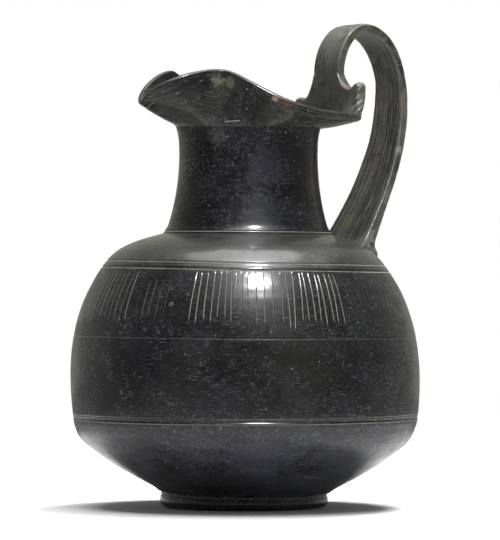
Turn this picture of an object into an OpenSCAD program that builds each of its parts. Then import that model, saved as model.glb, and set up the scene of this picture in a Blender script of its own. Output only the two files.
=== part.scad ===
// Oinochoe: a burnished black pouring jug with a pinched trefoil mouth
// and a fluted strap handle that swings high over the lip.
// The jug stands on the plane Z = 0 with its axis on Z.
// Its handle is on the +X side and its spout on the -X side.

/* [Foot] */
// Largest diameter of the foot ring
foot_d = 103.6; // [98:0.1:124]
// Diameter of the edge that the foot stands on
foot_edge_d = 95; // [80:0.1:104]
// Height of the foot ring
foot_h = 9.6; // [6:0.1:16]
// Width of the foot ring from its inner to its outer side
foot_w = 12; // [8:0.1:18]

/* [Body] */
// Thickness of the thrown wall
wall = 5; // [3.5:0.1:7]
// Thickness of the floor
floor_t = 6; // [4:0.1:9]
// Height from the top of the foot to the lower groove
cone_h = 45.2; // [34:0.1:58]
// Height of the rounded turn under the lower groove
turn_roll_h = 16.4; // [10:0.1:22]
// How far the rounded turn draws in below the lower groove
turn_roll_in = 9.6; // [5:0.1:14]
// Diameter at the lower groove
turn_d = 212.4; // [170:0.1:256]
// Height of the belly, from the lower groove to the shoulder grooves
belly_h = 93.7; // [75:0.1:120]
// Diameter at the shoulder grooves
shoulder_d = 174.6; // [146:0.1:206]
// Height of the shoulder from its grooves to the collar
shoulder_h = 19.9; // [15:0.1:26]
// Width of an incised groove
groove_w = 1.3; // [0.8:0.1:2]
// Depth of an incised groove
groove_depth = 0.7; // [0.4:0.1:1.2]

/* [Neck] */
// Outer diameter of the neck where it stands on the shoulder
neck_foot_d = 100.4; // [83:0.1:118]
// Outer diameter of the neck at its top
neck_top_d = 89; // [74:0.1:104]
// Height of the neck from the shoulder to the mouth
neck_h = 65; // [50:0.1:82]
// How far the collar stands out from the neck
collar_out = 1.6; // [1:0.1:4]
// Height of the collar
collar_h = 1.8; // [1.2:0.1:4]

/* [Mouth] */
// Reach of the spout's tip from the axis
spout_reach = 75.1; // [64:0.1:93]
// Reach of the wall from the axis at the two pinches
pinch_reach = 41; // [36:0.1:50]
// Reach of the flaring back lip from the axis
back_reach = 68.7; // [57:0.1:84]
// Rise of the spout's tip above the neck
spout_rise = 12.7; // [8:0.1:24]
// Rise of the rim beside the pinches
pinch_rise = 34; // [24:0.1:42]
// Rise of the back lip above the neck
back_rise = 4.4; // [2:0.1:9]
// Thickness of the rim
rim_t = 3.8; // [2.8:0.1:5]

/* [Handle] */
// Width of the strap over its arch
strap_w = 27; // [20:0.1:34]
// Thickness of the strap
strap_t = 6.2; // [4.5:0.1:8]
// Width that the strap's lower root spreads to
root_w = 47.5; // [36:0.1:56]
// Rise of the arch above the neck's top
arch_rise = 66.9; // [54:0.1:80]
// Reach of the strap's outermost point from the axis
handle_reach = 112.8; // [100:0.1:128]
// Depth of the strap's flutes
flute_depth = 0.8; // [0.3:0.1:1.2]
// Depth of the hollow along each side of the strap
side_hollow = 0.6; // [0.2:0.1:1]
// Rise of the taller horn above the neck's top
tall_horn_rise = 29.2; // [20:0.1:36]
// Rise of the shorter horn above the neck's top
short_horn_rise = 22; // [15:0.1:30]

/* [Hidden] */
clay = [0.20, 0.20, 0.19];
turned_fn = 144;
turned_steps = 18;
cone_steps = 11;
roll_steps = 8;

// Heights of the seams between the pieces
turn_z = foot_h + cone_h;
shoulder_z = turn_z + belly_h;
collar_z = shoulder_z + shoulder_h;
neck_top_z = collar_z + neck_h;
neck_r = neck_top_d / 2;

// Directions of the outline at the seams, in degrees from the +X direction
cone_lean = 29;
roll_lean = 38;
turn_lean = 83.2;
shoulder_lean = 125.5;
collar_lean = 164.2;
neck_foot_lean = 108.5;
neck_top_lean = 66;

// The lip is laid out in columns round the axis and rows from the neck to the rim
columns = 144;
rows = 9;
column_step = 360 / columns;

// The handle's lower face covers this many of the lip's rows and columns
saddle_rows = 3;
strap_columns = 4;
tall_columns = 13;
short_columns = 13;
horn_columns = 5;

// Vector helpers
function unit(v) = v / norm(v);
function mix(a, b, t) = a + (b - a) * t;
function ease(x) = x * x * (3 - 2 * x);
function limit(x) = min(max(x, 0), 1);
function heading(a) = [cos(a), sin(a)];

// A smooth curve between two points that leaves and arrives at a set heading
function curve(p, leave, pull, q, arrive, ease_in) =
    [p, p + pull * heading(leave), q - ease_in * heading(arrive), q];
function on_curve(c, t) =
    pow(1 - t, 3) * c[0] + 3 * t * pow(1 - t, 2) * c[1] + 3 * t * t * (1 - t) * c[2] + pow(t, 3) * c[3];
function along_curve(c, t) =
    unit(pow(1 - t, 2) * (c[1] - c[0]) + 2 * t * (1 - t) * (c[2] - c[1]) + t * t * (c[3] - c[2]));
function left_of(v) = [-v[1], v[0]];
function curve_points(c, n) = [for (i = [0 : n]) on_curve(c, i / n)];
function inner_points(c, n) = [for (i = [0 : n]) on_curve(c, i / n) + wall * left_of(along_curve(c, i / n))];
function backwards(list) = [for (i = [len(list) - 1 : -1 : 0]) list[i]];

// Outer outlines of the turned pieces, as [radius, height]
roll_start = [turn_d / 2 - turn_roll_in, turn_z - turn_roll_h];
cone_rise = roll_start[1] - foot_h;
cone_curve = curve([foot_d / 2 + 1, foot_h], cone_lean, cone_rise * 0.6,
                   roll_start, roll_lean, cone_rise * 0.6);
roll_curve = curve(roll_start, roll_lean, turn_roll_h * 0.36,
                   [turn_d / 2, turn_z], turn_lean, turn_roll_h * 0.5);
belly_curve = curve([turn_d / 2, turn_z], turn_lean, belly_h * 0.33,
                    [shoulder_d / 2, shoulder_z], shoulder_lean, belly_h * 0.39);
shoulder_curve = curve([shoulder_d / 2, shoulder_z], shoulder_lean, shoulder_h * 0.78,
                       [neck_foot_d / 2 + collar_out, collar_z], collar_lean, shoulder_h * 0.86);
neck_curve = curve([neck_foot_d / 2, collar_z + collar_h], neck_foot_lean, neck_h * 0.44,
                   [neck_r, neck_top_z], neck_top_lean, neck_h * 0.11);

module turned(points) {
    rotate_extrude($fn = turned_fn) polygon(points);
}

// A groove cut square to an outline at the place t along it
module groove(c, t) {
    p = on_curve(c, t);
    d = along_curve(c, t);
    n = left_of(d);
    turned([p - d * groove_w / 2 - n, p + d * groove_w / 2 - n,
            p + d * groove_w / 2, p + n * groove_depth, p - d * groove_w / 2]);
}

// A smooth value through keys of [angle, value, shape of the stretch that ends there]
function keyed(a, keys, i = 0) =
    i < len(keys) - 2 && a > keys[i + 1][0]
    ? keyed(a, keys, i + 1)
    : let (x = limit((a - keys[i][0]) / (keys[i + 1][0] - keys[i][0])))
      mix(keys[i][1], keys[i + 1][1], ease(pow(x, keys[i + 1][2])));

// Reach and height of the rim, by the angle from the spout to the back. The two pinches
// were pressed by hand: the one on the +Y side is the deeper and the higher of the two.
side_low = 118;
side_full = 140;
function reach_keys(b) = b <= 180
    ? [[0, spout_reach, 1], [48, pinch_reach - 0.4, 0.93], [side_full, back_reach + 2, 1], [180, back_reach, 1]]
    : [[0, spout_reach, 1], [39, pinch_reach + 0.4, 1.12], [side_full, back_reach + 2, 1], [180, back_reach, 1]];
function rise_keys(b) = b <= 180
    ? [[0, spout_rise, 1], [34.5, pinch_rise + 0.4, 0.89], [side_low, back_rise + 1, 0.62], [180, back_rise, 1]]
    : [[0, spout_rise, 1], [35, pinch_rise - 0.4, 0.57], [side_low, back_rise + 1, 0.93], [180, back_rise, 1]];

// Outer side of the lip at column angle b, from the neck (t = 0) to the rim (t = 1)
function folded(b) = b > 180 ? 360 - b : b;
function lip_out(b, t) =
    let (reach = keyed(folded(b), reach_keys(b)),
         rise = keyed(folded(b), rise_keys(b)),
         bend = [mix(neck_r, reach, 0.45), rise * 0.2],
         p = pow(1 - t, 2) * [neck_r, 0] + 2 * t * (1 - t) * bend + t * t * [reach, rise])
    [p[0] * cos(180 - b), p[0] * sin(180 - b), neck_top_z + p[1]];
function lip_up(b, t) = unit(lip_out(b, t + 0.01) - lip_out(b, t - 0.01));
function lip_round(b, t) = unit(lip_out(b + 0.5, t) - lip_out(b - 0.5, t));
function lip_in_way(b, t) =
    unit(mix([-cos(180 - b), -sin(180 - b), 0], unit(cross(lip_round(b, t), lip_up(b, t))),
             ease(limit(t / 0.3))));
function lip_t(t) = t < 0.7 ? mix(wall, rim_t * 0.9, ease(t / 0.7)) : mix(rim_t * 0.9, rim_t, ease((t - 0.7) / 0.3));
function lip_in(b, t) = lip_out(b, t) + lip_t(t) * lip_in_way(b, t);
function rim_cap(b, f) = mix(lip_out(b, 1), lip_in(b, 1), f) + 0.3 * rim_t * lip_up(b, 1);

// One closed column of the mouth: up the outside, over the rim and down the inside
function mouth_column(b) = concat(
    [for (j = [0 : rows]) lip_out(b, j / rows)],
    [rim_cap(b, 0.22), rim_cap(b, 0.78)],
    [for (j = [rows : -1 : 0]) lip_in(b, j / rows)]);

// A ring of closed columns, joined to each other all the way round
module ring_of(loops) {
    n = len(loops);
    m = len(loops[0]);
    points = [for (l = loops) for (p = l) p];
    faces = [for (i = [0 : n - 1]) for (j = [0 : m - 1])
        let (a = i * m + j, b = i * m + (j + 1) % m,
             c = ((i + 1) % n) * m + (j + 1) % m, d = ((i + 1) % n) * m + j)
        for (f = [[a, c, b], [a, d, c]]) f];
    polyhedron(points, faces, convexity = 8);
}

// A row of closed loops with both ends shut. Each loop is "side" points up one side,
// the same count down the other, with extra points over the top and along the bottom.
module skin_of(loops, side, top_extra, bottom_extra) {
    n = len(loops);
    m = len(loops[0]);
    points = [for (l = loops) for (p = l) p];
    walls = [for (i = [0 : n - 2]) for (j = [0 : m - 1])
        let (a = i * m + j, b = i * m + (j + 1) % m,
             c = (i + 1) * m + (j + 1) % m, d = (i + 1) * m + j)
        for (f = [[a, c, b], [a, d, c]]) f];
    function far_side(j) = 2 * side + top_extra - 1 - j;
    ladder = [for (j = [0 : side - 2])
        for (f = [[j, j + 1, far_side(j)], [j + 1, far_side(j + 1), far_side(j)]]) f];
    crown = [for (k = [0 : 1 : top_extra - 1]) [side - 1, side + k, side + k + 1]];
    sole_end = 2 * side + top_extra - 1;
    sole = [for (k = [0 : 1 : bottom_extra - 1]) [0, sole_end + k, sole_end + k + 1]];
    end = concat(ladder, crown, sole);
    last = (n - 1) * m;
    faces = concat(walls, [for (f = end) f],
                   [for (f = end) [last + f[2], last + f[1], last + f[0]]]);
    polyhedron(points, faces, convexity = 8);
}

// Centreline of the strap in the XZ plane: up, over the arch, and down to the shoulder
strap_foot_rise = tall_horn_rise + 5.4;
strap_start = [back_reach - 5.4, neck_top_z + strap_foot_rise];
arch_top = [mix(strap_start[0], handle_reach - strap_t / 2, 0.4), neck_top_z + arch_rise - strap_t / 2];
reach_point = [handle_reach - strap_t / 2, mix(collar_z, arch_top[1], 0.683)];
root_t = 0.41;
root_point = on_curve(shoulder_curve, root_t);
root_lean = 243.5;
rise_curve = curve(strap_start, 90, (arch_top[1] - strap_start[1]) * 0.71,
                   arch_top, 0, (arch_top[0] - strap_start[0]) * 0.40);
fall_curve = curve(arch_top, 0, (reach_point[0] - arch_top[0]) * 0.55,
                   reach_point, 270, (arch_top[1] - reach_point[1]) * 0.57);
drop_curve = curve(reach_point, 270, (reach_point[1] - root_point[1]) * 0.43,
                   root_point, root_lean, (reach_point[1] - root_point[1]) * 0.30);
root_split = 0.84;

// Places along the strap, counted 0 to 1 on each of its three curves
function strap_curve(u) = u < 1 ? rise_curve : u < 2 ? fall_curve : drop_curve;
function strap_place(u) = u < 1 ? u : u < 2 ? u - 1 : u - 2;
function strap_half(u) = mix(strap_w, root_w, pow(limit((u - 1.85) / 1.15), 1.15)) / 2;
function strap_thick(u) = strap_t * (1 + 0.4 * ease(limit((u - 2.6) / 0.4)));

// Relief of the strap's faces across its width, q = -1 to 1. The outer face has a groove
// inside each raised border, and two more from the arch down. The inner face is a channel.
function dip(q, at, spread) = exp(-pow((abs(q) - at) / spread, 2));
function outer_relief(q, u) =
    -flute_depth * (dip(q, 0.66, 0.13) + 0.8 * ease(limit((u - 0.9) / 0.7)) * dip(q, 0.22, 0.13));
function inner_relief(q, u) =
    -flute_depth * (1.3 * (1 - pow(abs(q), 2.4)) - 0.5 * ease(limit((u - 1.6) / 0.8)) * dip(q, 0.5, 0.14));
strap_steps = 20;

// One cross-section of the strap at the place u. Its plain start matches the saddle's top.
// It runs along the outer face, round one hollowed side, back along the inner face and
// round the other side.
function strap_loop(u, sink) =
    let (c = strap_curve(u), t = strap_place(u),
         p = on_curve(c, t) + sink * along_curve(c, t), n = left_of(along_curve(c, t)),
         shaped = ease(limit(u / 0.45)),
         half = strap_half(u), thick = strap_thick(u) / 2,
         side_y = half - mix(0.1, 1, shaped) * side_hollow)
    concat(
        [for (j = [0 : strap_steps])
            let (q = -1 + 2 * j / strap_steps,
                 out = thick * (1 - 0.35 * shaped * pow(abs(q), 12)) + shaped * outer_relief(q, u))
            [p[0] + out * n[0], half * q, p[1] + out * n[1]]],
        [[p[0], side_y, p[1]]],
        [for (j = [strap_steps : -1 : 0])
            let (q = -1 + 2 * j / strap_steps,
                 out = thick * (1 - 0.35 * shaped * pow(abs(q), 12)) + shaped * inner_relief(q, u))
            [p[0] - out * n[0], half * q, p[1] - out * n[1]]],
        [[p[0], -side_y, p[1]]]);

// Top edge of the sheet that spreads the strap over the back lip, by the angle
// from the middle of the back. The side of -Y holds the taller horn.
strap_angle = strap_columns * column_step;
function sheet_span(a) = (a > 0 ? tall_columns : short_columns) * column_step;
function horn_rise(a) = a > 0 ? tall_horn_rise : short_horn_rise;
function sheet_rise(a) =
    let (horn = horn_rise(a), span = sheet_span(a), valley = a > 0 ? 3.2 : 0.8)
    keyed(abs(a), [[strap_angle, strap_foot_rise, 1],
                   [span - 10, horn - valley, 0.5], [span - 5, horn - 0.3, 1],
                   [span - column_step, horn, 1], [span, horn - 2.4, 1]]);
function horn_y(a) = sheet_span(a) / 33 * (back_reach * 0.53);
function sheet_y(a) =
    abs(a) <= strap_angle
    ? strap_w / 2 * abs(a) / strap_angle
    : mix(strap_w / 2, horn_y(a), (abs(a) - strap_angle) / (sheet_span(a) - strap_angle));
function sheet_top(a) =
    [strap_start[0] + 1.8 * ease(limit((abs(a) - strap_angle) / (sheet_span(a) - strap_angle))),
     -sign(a) * sheet_y(a), neck_top_z + sheet_rise(a)];
function sheet_edge(a) = abs(a) <= strap_angle ? 0 : ease(limit((abs(a) - strap_angle) / 6));
function sheet_half_t(a) =
    strap_t / 2 * (1 + 0.15 * sheet_edge(a)) * (abs(a) > sheet_span(a) - 0.1 ? 0.6 : 1);

// Quadratic rise from the lip to the sheet's top on one side of the sheet
function rising(p, bend, q, s) = pow(1 - s, 2) * p + 2 * s * (1 - s) * bend + s * s * q;
sheet_steps = 7;
function sheet_loop(k) =
    let (a = k * column_step, b = 180 + a,
         top = sheet_top(a), half = sheet_half_t(a), soft = 1.4 * sheet_edge(a),
         front = lip_in(b, (rows - saddle_rows) / rows), back = lip_in(b, 1),
         front_top = top + [-half, 0, -soft], back_top = top + [half, 0, -soft],
         front_bend = [mix(front[0], front_top[0], 0.75), mix(front[1], front_top[1], 0.6),
                       mix(front[2], front_top[2], 0.22)],
         back_bend = [mix(back[0], back_top[0], 0.8), mix(back[1], back_top[1], 0.55),
                      mix(back[2], back_top[2], 0.35)])
    concat(
        [for (i = [0 : sheet_steps]) rising(front, front_bend, front_top, i / sheet_steps)],
        [top],
        [for (i = [sheet_steps : -1 : 0]) rising(back, back_bend, back_top, i / sheet_steps)],
        [for (j = [1 : saddle_rows - 1]) lip_in(b, (rows - j) / rows)]);
module sheet(first, last) {
    skin_of([for (k = [first : last]) sheet_loop(k)], sheet_steps + 1, 1, saddle_rows - 1);
}

// A turned ring of clay with a soft bulge and one incised line
module foot_ring() {
    bulge = foot_d / 2;
    inner = bulge - foot_w;
    color(clay) turned([
        [inner - 1, 0], [foot_edge_d / 2, 0], [mix(foot_edge_d / 2, bulge, 0.45), foot_h * 0.07],
        [mix(foot_edge_d / 2, bulge, 0.85), foot_h * 0.24], [bulge, foot_h * 0.44],
        [bulge - 0.2, foot_h * 0.62],
        [bulge - groove_depth * 0.7, foot_h * 0.69], [bulge - 0.3, foot_h * 0.76],
        [bulge - 0.6, foot_h], [inner, foot_h], [inner - 0.4, foot_h * 0.5]]);
}

// The floor and the low cone up to the turn under the belly
module lower_body() {
    floor_z = foot_h + floor_t;
    wall_side = concat(inner_points(cone_curve, cone_steps),
                       [for (i = [1 : roll_steps]) inner_points(roll_curve, roll_steps)[i]]);
    inside = [for (p = wall_side) if (p[1] > floor_z + 0.6) p];
    color(clay) turned(concat(
        [[0, foot_h]], curve_points(cone_curve, cone_steps),
        [for (i = [1 : roll_steps]) on_curve(roll_curve, i / roll_steps)], backwards(inside),
        [[inside[0][0] - 2.5, floor_z], [0, floor_z]]));
}

module belly() {
    color(clay) difference() {
        turned(concat(curve_points(belly_curve, turned_steps),
                      backwards(inner_points(belly_curve, turned_steps))));
        groove(belly_curve, 0.012);
        groove(belly_curve, 0.982);
    }
}

// The dome of the shoulder, with a flat seat for the neck and the collar
module shoulder() {
    seat_in = neck_foot_d / 2 - wall;
    color(clay) difference() {
        turned(concat(curve_points(shoulder_curve, turned_steps),
                      [[seat_in, collar_z], [seat_in, collar_z - wall]],
                      backwards(inner_points(shoulder_curve, turned_steps))));
        groove(shoulder_curve, 0.04);
    }
}

// The crisp raised ring round the foot of the neck
module collar() {
    inner = neck_foot_d / 2;
    color(clay) turned([
        [inner, collar_z], [inner + collar_out, collar_z],
        [inner + collar_out * 0.9, collar_z + collar_h * 0.4],
        [inner + collar_out * 0.45, collar_z + collar_h * 0.65],
        [inner + collar_out * 0.15, collar_z + collar_h], [inner, collar_z + collar_h]]);
}

module neck() {
    outside = concat([[neck_foot_d / 2, collar_z]], curve_points(neck_curve, turned_steps));
    color(clay) turned(concat(outside, [for (p = backwards(outside)) p - [wall, 0]]));
}

// The flaring lip, pinched at two places to make the trefoil
module mouth() {
    color(clay) ring_of([for (i = [0 : columns - 1]) mouth_column(i * column_step)]);
}

// The sheet of clay that spreads the strap over the back lip, between its two horns
module handle_saddle() {
    color(clay) sheet(-short_columns + horn_columns, tall_columns - horn_columns);
}

module tall_horn() {
    color(clay) sheet(tall_columns - horn_columns, tall_columns);
}

module short_horn() {
    color(clay) sheet(-short_columns, -short_columns + horn_columns);
}

// The fluted strap, from the saddle over the arch to its root
module handle_strap() {
    steps = concat([for (i = [0 : 11]) i / 12], [for (i = [0 : 13]) 1 + i / 14],
                   [for (i = [0 : 14]) 2 + root_split * i / 14]);
    color(clay) skin_of([for (u = steps) strap_loop(u, 0)], strap_steps + 1, 1, 1);
}

// The root widens and is pressed onto the shoulder
module handle_root() {
    steps = 5;
    sunk = 9;
    color(clay) difference() {
        skin_of([for (i = [0 : steps + 1])
                     strap_loop(2 + mix(root_split, 1, min(i / steps, 0.9999)), i > steps ? sunk : 0)],
                strap_steps + 1, 1, 1);
        turned(concat([[0, shoulder_z - belly_h / 3]],
                      [for (i = [12 : turned_steps - 1]) on_curve(belly_curve, i / turned_steps)],
                      curve_points(shoulder_curve, turned_steps), [[0, collar_z]]));
    }
}

foot_ring();
lower_body();
belly();
shoulder();
collar();
neck();
mouth();
handle_saddle();
tall_horn();
short_horn();
handle_strap();
handle_root();
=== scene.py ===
# %% [markdown]
# # A burnished black pouring jug
# The real jug is fired clay, thrown on a wheel in several parts and rubbed with a smooth stone
# until it shone. Its mouth is pinched into three lobes, and a strap handle swings over it.
# The construction is already fixed as a set of solids, which this script loads as a frame.
# The script's own work is the looks: finer meshes in the same places, the clay, and the light.

# %% Load the frame
import math
from collections import namedtuple

import bmesh
import bpy
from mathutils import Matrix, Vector, kdtree, noise


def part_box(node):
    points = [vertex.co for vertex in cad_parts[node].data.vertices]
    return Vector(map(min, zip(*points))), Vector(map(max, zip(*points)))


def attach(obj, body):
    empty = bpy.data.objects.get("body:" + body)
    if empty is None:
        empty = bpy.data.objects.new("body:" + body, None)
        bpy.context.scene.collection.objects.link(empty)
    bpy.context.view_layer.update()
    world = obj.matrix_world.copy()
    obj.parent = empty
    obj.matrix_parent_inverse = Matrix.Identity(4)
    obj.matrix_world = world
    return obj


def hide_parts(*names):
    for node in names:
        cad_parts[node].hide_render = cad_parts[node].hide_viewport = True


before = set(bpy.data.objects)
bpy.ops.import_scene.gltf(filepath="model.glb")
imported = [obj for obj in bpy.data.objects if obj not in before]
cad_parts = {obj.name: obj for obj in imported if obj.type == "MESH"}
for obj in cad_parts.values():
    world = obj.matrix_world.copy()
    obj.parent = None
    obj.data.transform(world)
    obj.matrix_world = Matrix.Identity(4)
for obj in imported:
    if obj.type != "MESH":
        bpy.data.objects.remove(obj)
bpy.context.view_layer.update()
print("nodes:", sorted(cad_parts))

# %% [markdown]
# Every length below is in millimetres, and a finished mesh is scaled to metres once.
# The sizes that the jug shares with its solids are read from the frame, so that each new
# piece lies exactly where the solid that it replaces lies.

# %% Sizes that come from the frame
MM = 0.001


def node_box(node):
    """The lowest and highest corner of a solid, in millimetres."""
    low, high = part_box(node)
    return low / MM, high / MM


foot_radius = node_box("foot_ring")[1].x
foot_top = node_box("foot_ring")[1].z
turn_radius = node_box("lower_body")[1].x
turn_height = node_box("belly")[0].z
shoulder_height = node_box("belly")[1].z
collar_radius, collar_height = node_box("collar")[1].x, node_box("collar")[0].z
neck_foot_radius = node_box("neck")[1].x
neck_top = node_box("neck")[1].z
handle_reach = node_box("handle_strap")[1].x
arch_height = node_box("handle_strap")[1].z
print(f"turn at {turn_height:.1f}, shoulder at {shoulder_height:.1f}, neck top at {neck_top:.1f} mm")

# %% [markdown]
# ## The camera
# The photograph was taken level with the belly, from far enough away that the rims look
# almost flat. A long lens and a distant camera give the same flat view. The lens follows
# from the scale: each pixel of the picture covers 0.617 mm at the jug's axis, and a 36 mm
# sensor maps to the picture's longer side. The floor's row then sets the eye's height.

# %% Camera
IMAGE_HEIGHT = 540
PIXEL = 0.617
SENSOR = 36
VIEW_TURN = math.radians(33)
AXIS_OFFSET = 2.8
EYE_HEIGHT = 146.1
CAMERA_DISTANCE = 2530

ahead = Vector((math.sin(VIEW_TURN), math.cos(VIEW_TURN), 0))
rightward = Vector((math.cos(VIEW_TURN), -math.sin(VIEW_TURN), 0))
camera_data = bpy.data.cameras.new("camera")
camera_data.sensor_width = SENSOR
camera_data.lens = SENSOR * CAMERA_DISTANCE / (IMAGE_HEIGHT * PIXEL)
camera_data.clip_end = 100
camera = bpy.data.objects.new("camera", camera_data)
camera.location = (AXIS_OFFSET * rightward - CAMERA_DISTANCE * ahead + Vector((0, 0, EYE_HEIGHT))) * MM
camera.rotation_euler = ahead.to_track_quat("-Z", "Y").to_euler()
bpy.context.scene.collection.objects.link(camera)
bpy.context.scene.camera = camera
print(f"lens {camera_data.lens:.0f} mm")

# %% [markdown]
# ## The light
# A dark glossy pot is mostly a picture of what stands round it. A wide softbox hangs right
# overhead and spreads a broad sheen over the shoulder. A smaller one stands high behind the
# jug, to the right: it whitens the floor and throws the belly's round shadow towards the
# camera. A small bright one, high in front, makes the one round light on the belly. Each
# lamp says who sees it: the clay's gloss, the soft diffuse light, or both.

# %% Softboxes
Softbox = namedtuple("Softbox", "name width height power side front up in_gloss in_soft")
softboxes = [
    Softbox("overhead", 2300, 2300, 80, 0, 0, 2600, True, True),
    Softbox("behind", 700, 700, 55, 560, -900, 1900, False, True),
    Softbox("window", 230, 280, 58, 215, 868, 1454, True, False),
]
AIM_HEIGHT = 130


def add_softbox(box):
    """An area light placed from the jug in the camera's own directions, facing the jug."""
    light = bpy.data.lights.new(box.name, "AREA")
    light.shape = "ELLIPSE"
    light.size = box.width * MM
    light.size_y = box.height * MM
    light.energy = box.power
    place = (box.side * rightward - box.front * ahead + Vector((0, 0, box.up))) * MM
    lamp = bpy.data.objects.new(box.name, light)
    lamp.location = place
    lamp.rotation_euler = (Vector((0, 0, AIM_HEIGHT * MM)) - place).to_track_quat("-Z", "Y").to_euler()
    lamp.visible_glossy = box.in_gloss
    lamp.visible_diffuse = box.in_soft
    bpy.context.scene.collection.objects.link(lamp)


for softbox in softboxes:
    add_softbox(softbox)
print("softboxes:", [box.name for box in softboxes])

# %% [markdown]
# A material or a world is a small graph of nodes. These helpers add a node, set its options
# and give back the socket that comes out, so that a graph reads like a formula: times(...) is
# a Math node that multiplies, and blend(...) is a Mix node.

# %% Node helpers
def wire(tree, value, socket):
    """Feeds a socket from another one, or sets it to a plain number or colour."""
    if isinstance(value, bpy.types.NodeSocket):
        tree.links.new(value, socket)
    elif hasattr(value, "__len__") and len(value) == 3 and socket.type == "RGBA":
        socket.default_value = (*value, 1)
    else:
        socket.default_value = value


def add_node(tree, kind, inputs=(), **options):
    node = tree.nodes.new("ShaderNode" + kind)
    for name, value in options.items():
        setattr(node, name, value)
    for place, value in dict(inputs).items():
        wire(tree, value, node.inputs[place])
    return node


def calc(tree, operation, a, b=0.0, clamp=False):
    return add_node(tree, "Math", {0: a, 1: b}, operation=operation, use_clamp=clamp).outputs[0]


def times(tree, a, b, clamp=False):
    return calc(tree, "MULTIPLY", a, b, clamp)


def plus(tree, a, b, clamp=False):
    return calc(tree, "ADD", a, b, clamp)


def larger(tree, a, b):
    return calc(tree, "MAXIMUM", a, b)


def vector(tree, operation, a, b=(0, 0, 0), output="Vector"):
    return add_node(tree, "VectorMath", {0: a, 1: b}, operation=operation).outputs[output]


print("sums of nodes are ready")

# %% [markdown]
# Two more nodes do most of the painting. A soft step turns a pattern into a mask with a soft
# border, and a mix puts one colour over another where the mask is high.

# %% Masks, mixes and materials
def span(tree, value, low, high, first=0.0, last=1.0):
    """A soft step: first below low, last above high."""
    node = add_node(tree, "MapRange", {0: value, 1: low, 2: high, 3: first, 4: last},
                    interpolation_type="SMOOTHSTEP")
    return node.outputs[0]


def blend(tree, share, first, second):
    """A mix of two colours."""
    node = add_node(tree, "Mix", data_type="RGBA")
    for socket, value in zip((node.inputs["Factor"], node.inputs[6], node.inputs[7]), (share, first, second)):
        wire(tree, value, socket)
    return node.outputs[2]


def new_material(name):
    """A new material, its tree of nodes and the shader in it."""
    material = bpy.data.materials.new(name)
    material.use_nodes = True
    return material, material.node_tree, material.node_tree.nodes["Principled BSDF"]


print("masks and mixes are ready")

# %% [markdown]
# The world is plain white to the camera, as the photograph's background is. The clay should
# meet something dimmer. Rays that bounce off its gloss see a room that is dim and slightly
# blue on the camera's side and pale behind the jug, so that the outline turns lighter where
# it reflects the room at a low angle. Rays of soft light see an even grey.

# %% World
DIM_SIDE = (0.055, 0.055, 0.065)
PALE_SIDE = (0.46, 0.46, 0.41)
SOFT_LIGHT = 0.20


def add_world():
    world = bpy.data.worlds.new("studio")
    world.use_nodes = True
    tree = world.node_tree
    tree.nodes.clear()
    direction = add_node(tree, "TexCoord").outputs["Generated"]
    facing = vector(tree, "DOT_PRODUCT", direction, ahead, "Value")
    room = blend(tree, span(tree, facing, -0.6, 1.0), DIM_SIDE, PALE_SIDE)
    seen = add_node(tree, "LightPath")
    around = blend(tree, seen.outputs["Is Glossy Ray"], (SOFT_LIGHT,) * 3, room)
    colour = blend(tree, seen.outputs["Is Camera Ray"], around, (1, 1, 1))
    background = add_node(tree, "Background", {"Color": colour})
    output = add_node(tree, "OutputWorld")
    tree.links.new(background.outputs[0], output.inputs["Surface"])
    bpy.context.scene.world = world


add_world()
bpy.context.scene.view_settings.view_transform = "Standard"
print("world:", bpy.context.scene.world.name)

# %% [markdown]
# The floor is a plain pale table top, staging and no part of the jug. The photograph's table
# has no far edge: it turns pure white a hand's width from the jug. A glow that only the
# camera sees grows with the distance and does the same, and leaves the shadow under the belly
# alone. In the clay's gloss the far table is dull, as in a studio where only the sheet of
# paper under the pot is lit.

# %% Floor
FLOOR_SPAN = 1.3
GLOW_STARTS, GLOW_FULL = 0.11, 0.26
DULL_SPAN = (0.14, 0.42)
PAPER, DULL_TABLE = (0.92, 0.92, 0.91), (0.10, 0.10, 0.10)


def add_floor():
    bm = bmesh.new()
    bmesh.ops.create_circle(bm, cap_ends=True, segments=96, radius=FLOOR_SPAN)
    mesh = bpy.data.meshes.new("floor")
    bm.to_mesh(mesh)
    bm.free()
    material, tree, surface = new_material("pale_table")
    far = vector(tree, "LENGTH", add_node(tree, "TexCoord").outputs["Object"], output="Value")
    seen = add_node(tree, "LightPath").outputs
    glow = times(tree, span(tree, far, GLOW_STARTS, GLOW_FULL), seen["Is Camera Ray"])
    wire(tree, blend(tree, glow, (0, 0, 0), (1, 1, 1)), surface.inputs["Emission Color"])
    surface.inputs["Emission Strength"].default_value = 1.0
    dulled = times(tree, span(tree, far, *DULL_SPAN), seen["Is Glossy Ray"])
    wire(tree, blend(tree, dulled, PAPER, DULL_TABLE), surface.inputs["Base Color"])
    surface.inputs["Roughness"].default_value = 0.8
    mesh.materials.append(material)
    floor = bpy.data.objects.new("floor", mesh)
    bpy.context.scene.collection.objects.link(floor)


add_floor()
print("floor added")

# %% [markdown]
# ## Outlines
# A thrown pot is round, so each of its parts is an outline spun about the axis. An outline
# is a cubic curve that leaves one seam at a set heading and arrives at the next at another.
# Grooves are pressed into it along its normal, with points set closer together there.

# %% Curves
def heading(angle):
    """A direction in the outline's plane, in degrees from straight outwards."""
    return Vector((math.cos(math.radians(angle)), math.sin(math.radians(angle))))


def curve(start, leave, pull, end, arrive, ease_in):
    start, end = Vector(start), Vector(end)
    return [start, start + pull * heading(leave), end - ease_in * heading(arrive), end]


def on_curve(c, t):
    s = 1 - t
    return s ** 3 * c[0] + 3 * s * s * t * c[1] + 3 * s * t * t * c[2] + t ** 3 * c[3]


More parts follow.
